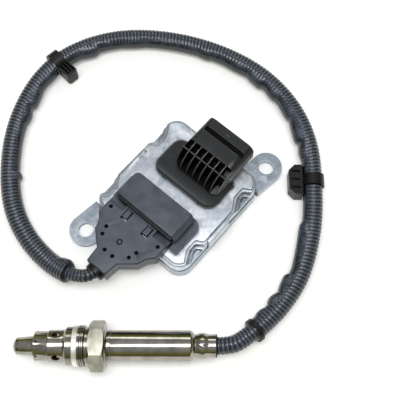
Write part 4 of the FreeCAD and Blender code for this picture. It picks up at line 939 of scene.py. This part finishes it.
# Painted shade in crevices, and painted highlights on thin edges.
tree.links.new(
    painted_shade_and_highlight(tree, top_lit_tone.outputs["Result"], "55606f", 0.25, 5.0), shader.inputs["Base Color"]
)
dullness = add_node(
    tree,
    "MapRange",
    values={"From Min": 0.35, "From Max": 0.65, "To Min": 0.2, "To Max": 0.36},
    links={"Value": scuffs.outputs["Fac"]},
)
tree.links.new(dullness.outputs["Result"], shader.inputs["Roughness"])
dents = add_node(
    tree,
    "TexNoise",
    values={"Scale": 1 / mm(2.2), "Detail": 3.0},
    links={"Vector": place.outputs["Object"]},
)
relief = add_node(
    tree,
    "Bump",
    values={"Strength": 0.6, "Distance": mm(0.2)},
    links={"Height": dents.outputs["Fac"]},
)
tree.links.new(relief.outputs["Normal"], shader.inputs["Normal"])
tube.data.materials.append(conduit_plastic)
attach(tube, "root")
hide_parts("conduit_unit_end", "cable_sleeve", "conduit_probe_end")


# Collar, end clamp and clips on the cable
# The collar holds the thin conduit in the backshell, the clamp ties the sleeve's end, and
# two ratchet clips with stud feet carry the cable. All four are nylon, moulded black.

CLIP_EDGE_MM = 0.25
FOOT_MOVE = Vector((1.36, 2.33, 0)) * mm(1)
FOOT_REACH = mm(3)

# Moulded black nylon: darker than the header's, with the same satin.
# Its edges get painted highlights, and its crevices painted shade.
black_nylon = mottled(
    "moulded_black_nylon",
    {"Roughness": 0.38, "IOR": 1.53, "Specular IOR Level": 0.3},
    "050506",
    "0f1012",
    3.0,
    0.5,
    0.02,
    edge=("33363a", 0.4, 2.0),
)
for node_name, piece_name in (
    ("exit_collar", "conduit_collar"),
    ("sleeve_clamp", "sleeve_end_clamp"),
    ("clip_upper", "clip_upper_moulding"),
    ("clip_side", "clip_side_moulding"),
):
    dress(node_name, piece_name, CLIP_EDGE_MM, black_nylon)
# The upper clip's foot was pressed towards the sleeve, while its band stays round it.
upper_clip = bpy.data.objects["clip_upper_moulding"]
for vertex in upper_clip.data.vertices:
    gap = min((vertex.co - place).length for place in cable.places)
    vertex.co += FOOT_MOVE * smooth_step(SLEEVE_RADIUS, SLEEVE_RADIUS + FOOT_REACH, gap)


# Grommet and lead wires
# A moulded rubber plug, crimped in the probe's rear shell, that the wires pass through. The
# wires are stranded copper under extruded insulation.

# Extruded insulation: off-white and smooth, with a dull gloss.
insulation = mottled(
    "extruded_fluoropolymer", {"Roughness": 0.38}, "b9b6ad", "cfccc4", 3.0, 0.6, 0.01
)
dress("grommet", "grommet_rubber", 0, rubber)
dress("lead_wires", "lead_wires_insulated", 0, insulation)


# Rear shell, threaded body and sealing ring
# The shell is drawn stainless steel, crimped and welded on the body, which is turned from
# hexagon bar. The ring is rolled steel that the thread presses on the exhaust boss.

SHELL_EDGE_MM = 0.12
BODY_EDGE_MM = 0.15
RING_EDGE_MM = 0.2
AXIS_TURN = math.radians(49.3)
EDGE_SHINE = "d9d7d0"


def steel(name, sockets, dark, pale, along_mm, around_mm, depth_mm):
    """Stainless steel with a cloudy straw tint, and tool lines so long and so wide."""
    material, tree, shader = new_material(name, {"Metallic": 1.0, **sockets})
    place = add_node(tree, "TexCoord")
    tint = add_node(
        tree,
        "TexNoise",
        values={"Scale": 1 / mm(5.0), "Detail": 4.0},
        links={"Vector": place.outputs["Object"]},
    )
    tone = add_node(
        tree,
        "ValToRGB",
        links={"Fac": tint.outputs["Fac"]},
        stops=[(0.32, dark), (0.68, pale)],
    )
    # Painted shade in crevices, and painted highlights on edges in the edge shine colour.
    tree.links.new(
        painted_shade_and_highlight(tree, tone.outputs["Color"], EDGE_SHINE, 0.25, 1.0), shader.inputs["Base Color"]
    )
    turned = add_node(
        tree,
        "Mapping",
        values={"Rotation": (0, 0, AXIS_TURN)},
        links={"Vector": place.outputs["Object"]},
    )
    stretched = add_node(
        tree,
        "Mapping",
        values={"Scale": (1 / mm(along_mm), 1 / mm(around_mm), 1 / mm(around_mm))},
        links={"Vector": turned.outputs["Vector"]},
    )
    lines = add_node(
        tree,
        "TexNoise",
        values={"Scale": 1.0, "Detail": 3.0},
        links={"Vector": stretched.outputs["Vector"]},
    )
    relief = add_node(
        tree,
        "Bump",
        values={"Strength": 0.4, "Distance": mm(depth_mm)},
        links={"Height": lines.outputs["Fac"]},
    )
    tree.links.new(relief.outputs["Normal"], shader.inputs["Normal"])
    return material


# Drawn tube: bright bands with a straw tint, and faint lines along it from the die. They are
# drawn 0.5 mm wide, because the real ones are too fine to show.
drawn_steel = steel(
    "drawn_stainless_steel", {"Roughness": 0.15}, "8f8c84", "aba79f", 14.0, 0.5, 0.02
)
# Turned bar: the same steel with a warmer tint, and rings round it from the tool.
turned_steel = steel(
    "turned_stainless_steel", {"Roughness": 0.2}, "7f7c6e", "a5a298", 0.35, 9.0, 0.02
)
# Rolled ring: bright and nearly colourless.
rolled_steel = steel(
    "rolled_bright_steel", {"Roughness": 0.5}, "f2f1ee", "fafaf8", 0.5, 6.0, 0.01
)
dress("rear_shell", "rear_shell_drawn", SHELL_EDGE_MM, drawn_steel)
dress("threaded_body", "turned_body", BODY_EDGE_MM, turned_steel)
dress("sealing_ring", "bright_ring", RING_EDGE_MM, rolled_steel)


# Element, insulators and contacts
# The flat zirconia element stands in a pressed talc packing between two fired insulators,
# and sprung contacts in a ceramic holder join it to the wires. The body hides them.

# Fired ceramic: warm white, matt, with faint kiln clouds.
fired = mottled(
    "fired_alumina", {"Roughness": 0.55, "IOR": 1.7}, "dad7ce", "ebe8e0", 2.0, 0.4, 0.01
)
# Pressed talc: chalky grey-white powder.
talc = mottled("pressed_talc", {"Roughness": 0.9}, "c9c8c2", "dcdbd5", 1.5, 0.3, 0.05)
for node_name in ("sensor_element", "front_insulator", "rear_insulator", "contact_holder"):
    dress(node_name, node_name + "_fired", 0, fired)
dress("talc_packing", "talc_packing_pressed", 0, talc)
dress("contact_springs", "contact_springs_strip", 0, tinned)


# Protection tubes
# Two drawn steel cups with gas holes, one in the other, crimped to the body's nose. The
# exhaust passes between them to the element. The inner one keeps its strip's pale skin.

TUBE_EDGE_MM = 0.1
PROBE_TIP = Vector((-112.4, 7.03, 11.0))
PROBE_AXIS = Vector((math.cos(-AXIS_TURN), math.sin(-AXIS_TURN), 0))
PROBE_SIDE = Vector((-PROBE_AXIS.y, PROBE_AXIS.x, 0))
GAS_HOLES_AT = 21.2
GAS_HOLE_ANGLES = (57, 147, 237, 327)
DIMPLE_RADIUS = 2.2
ROUND_WALL = 0.985

# The countersunk rims and walls of the gas holes, painted dark brown.
dark_rim_steel = mottled(
    "dark_brown_rim_steel", {"Metallic": 1.0, "Roughness": 0.45}, "2a1c12", "46331f", 1.0, 0.3, 0.02
)


def in_dimple(middle, normal, area):
    """On the countersink or the wall of a gas hole."""
    offset = middle - PROBE_TIP - PROBE_AXIS * GAS_HOLES_AT
    outward = (offset - PROBE_AXIS * offset.dot(PROBE_AXIS)).normalized()
    if abs(normal.dot(outward)) > ROUND_WALL:
        return False
    for degrees in GAS_HOLE_ANGLES:
        angle = math.radians(degrees)
        hole = PROBE_SIDE * math.cos(angle) + Vector((0, 0, math.sin(angle)))
        along = offset.dot(hole)
        if along > 0 and (offset - hole * along).length < DIMPLE_RADIUS:
            return True
    return False


outer_tube = dress(
    "protection_tube_outer",
    "protection_tube_outer_drawn",
    TUBE_EDGE_MM,
    drawn_steel,
)
refinish(outer_tube, dark_rim_steel, in_dimple)
dress("protection_tube_inner", "protection_tube_inner_drawn", 0, rolled_steel)
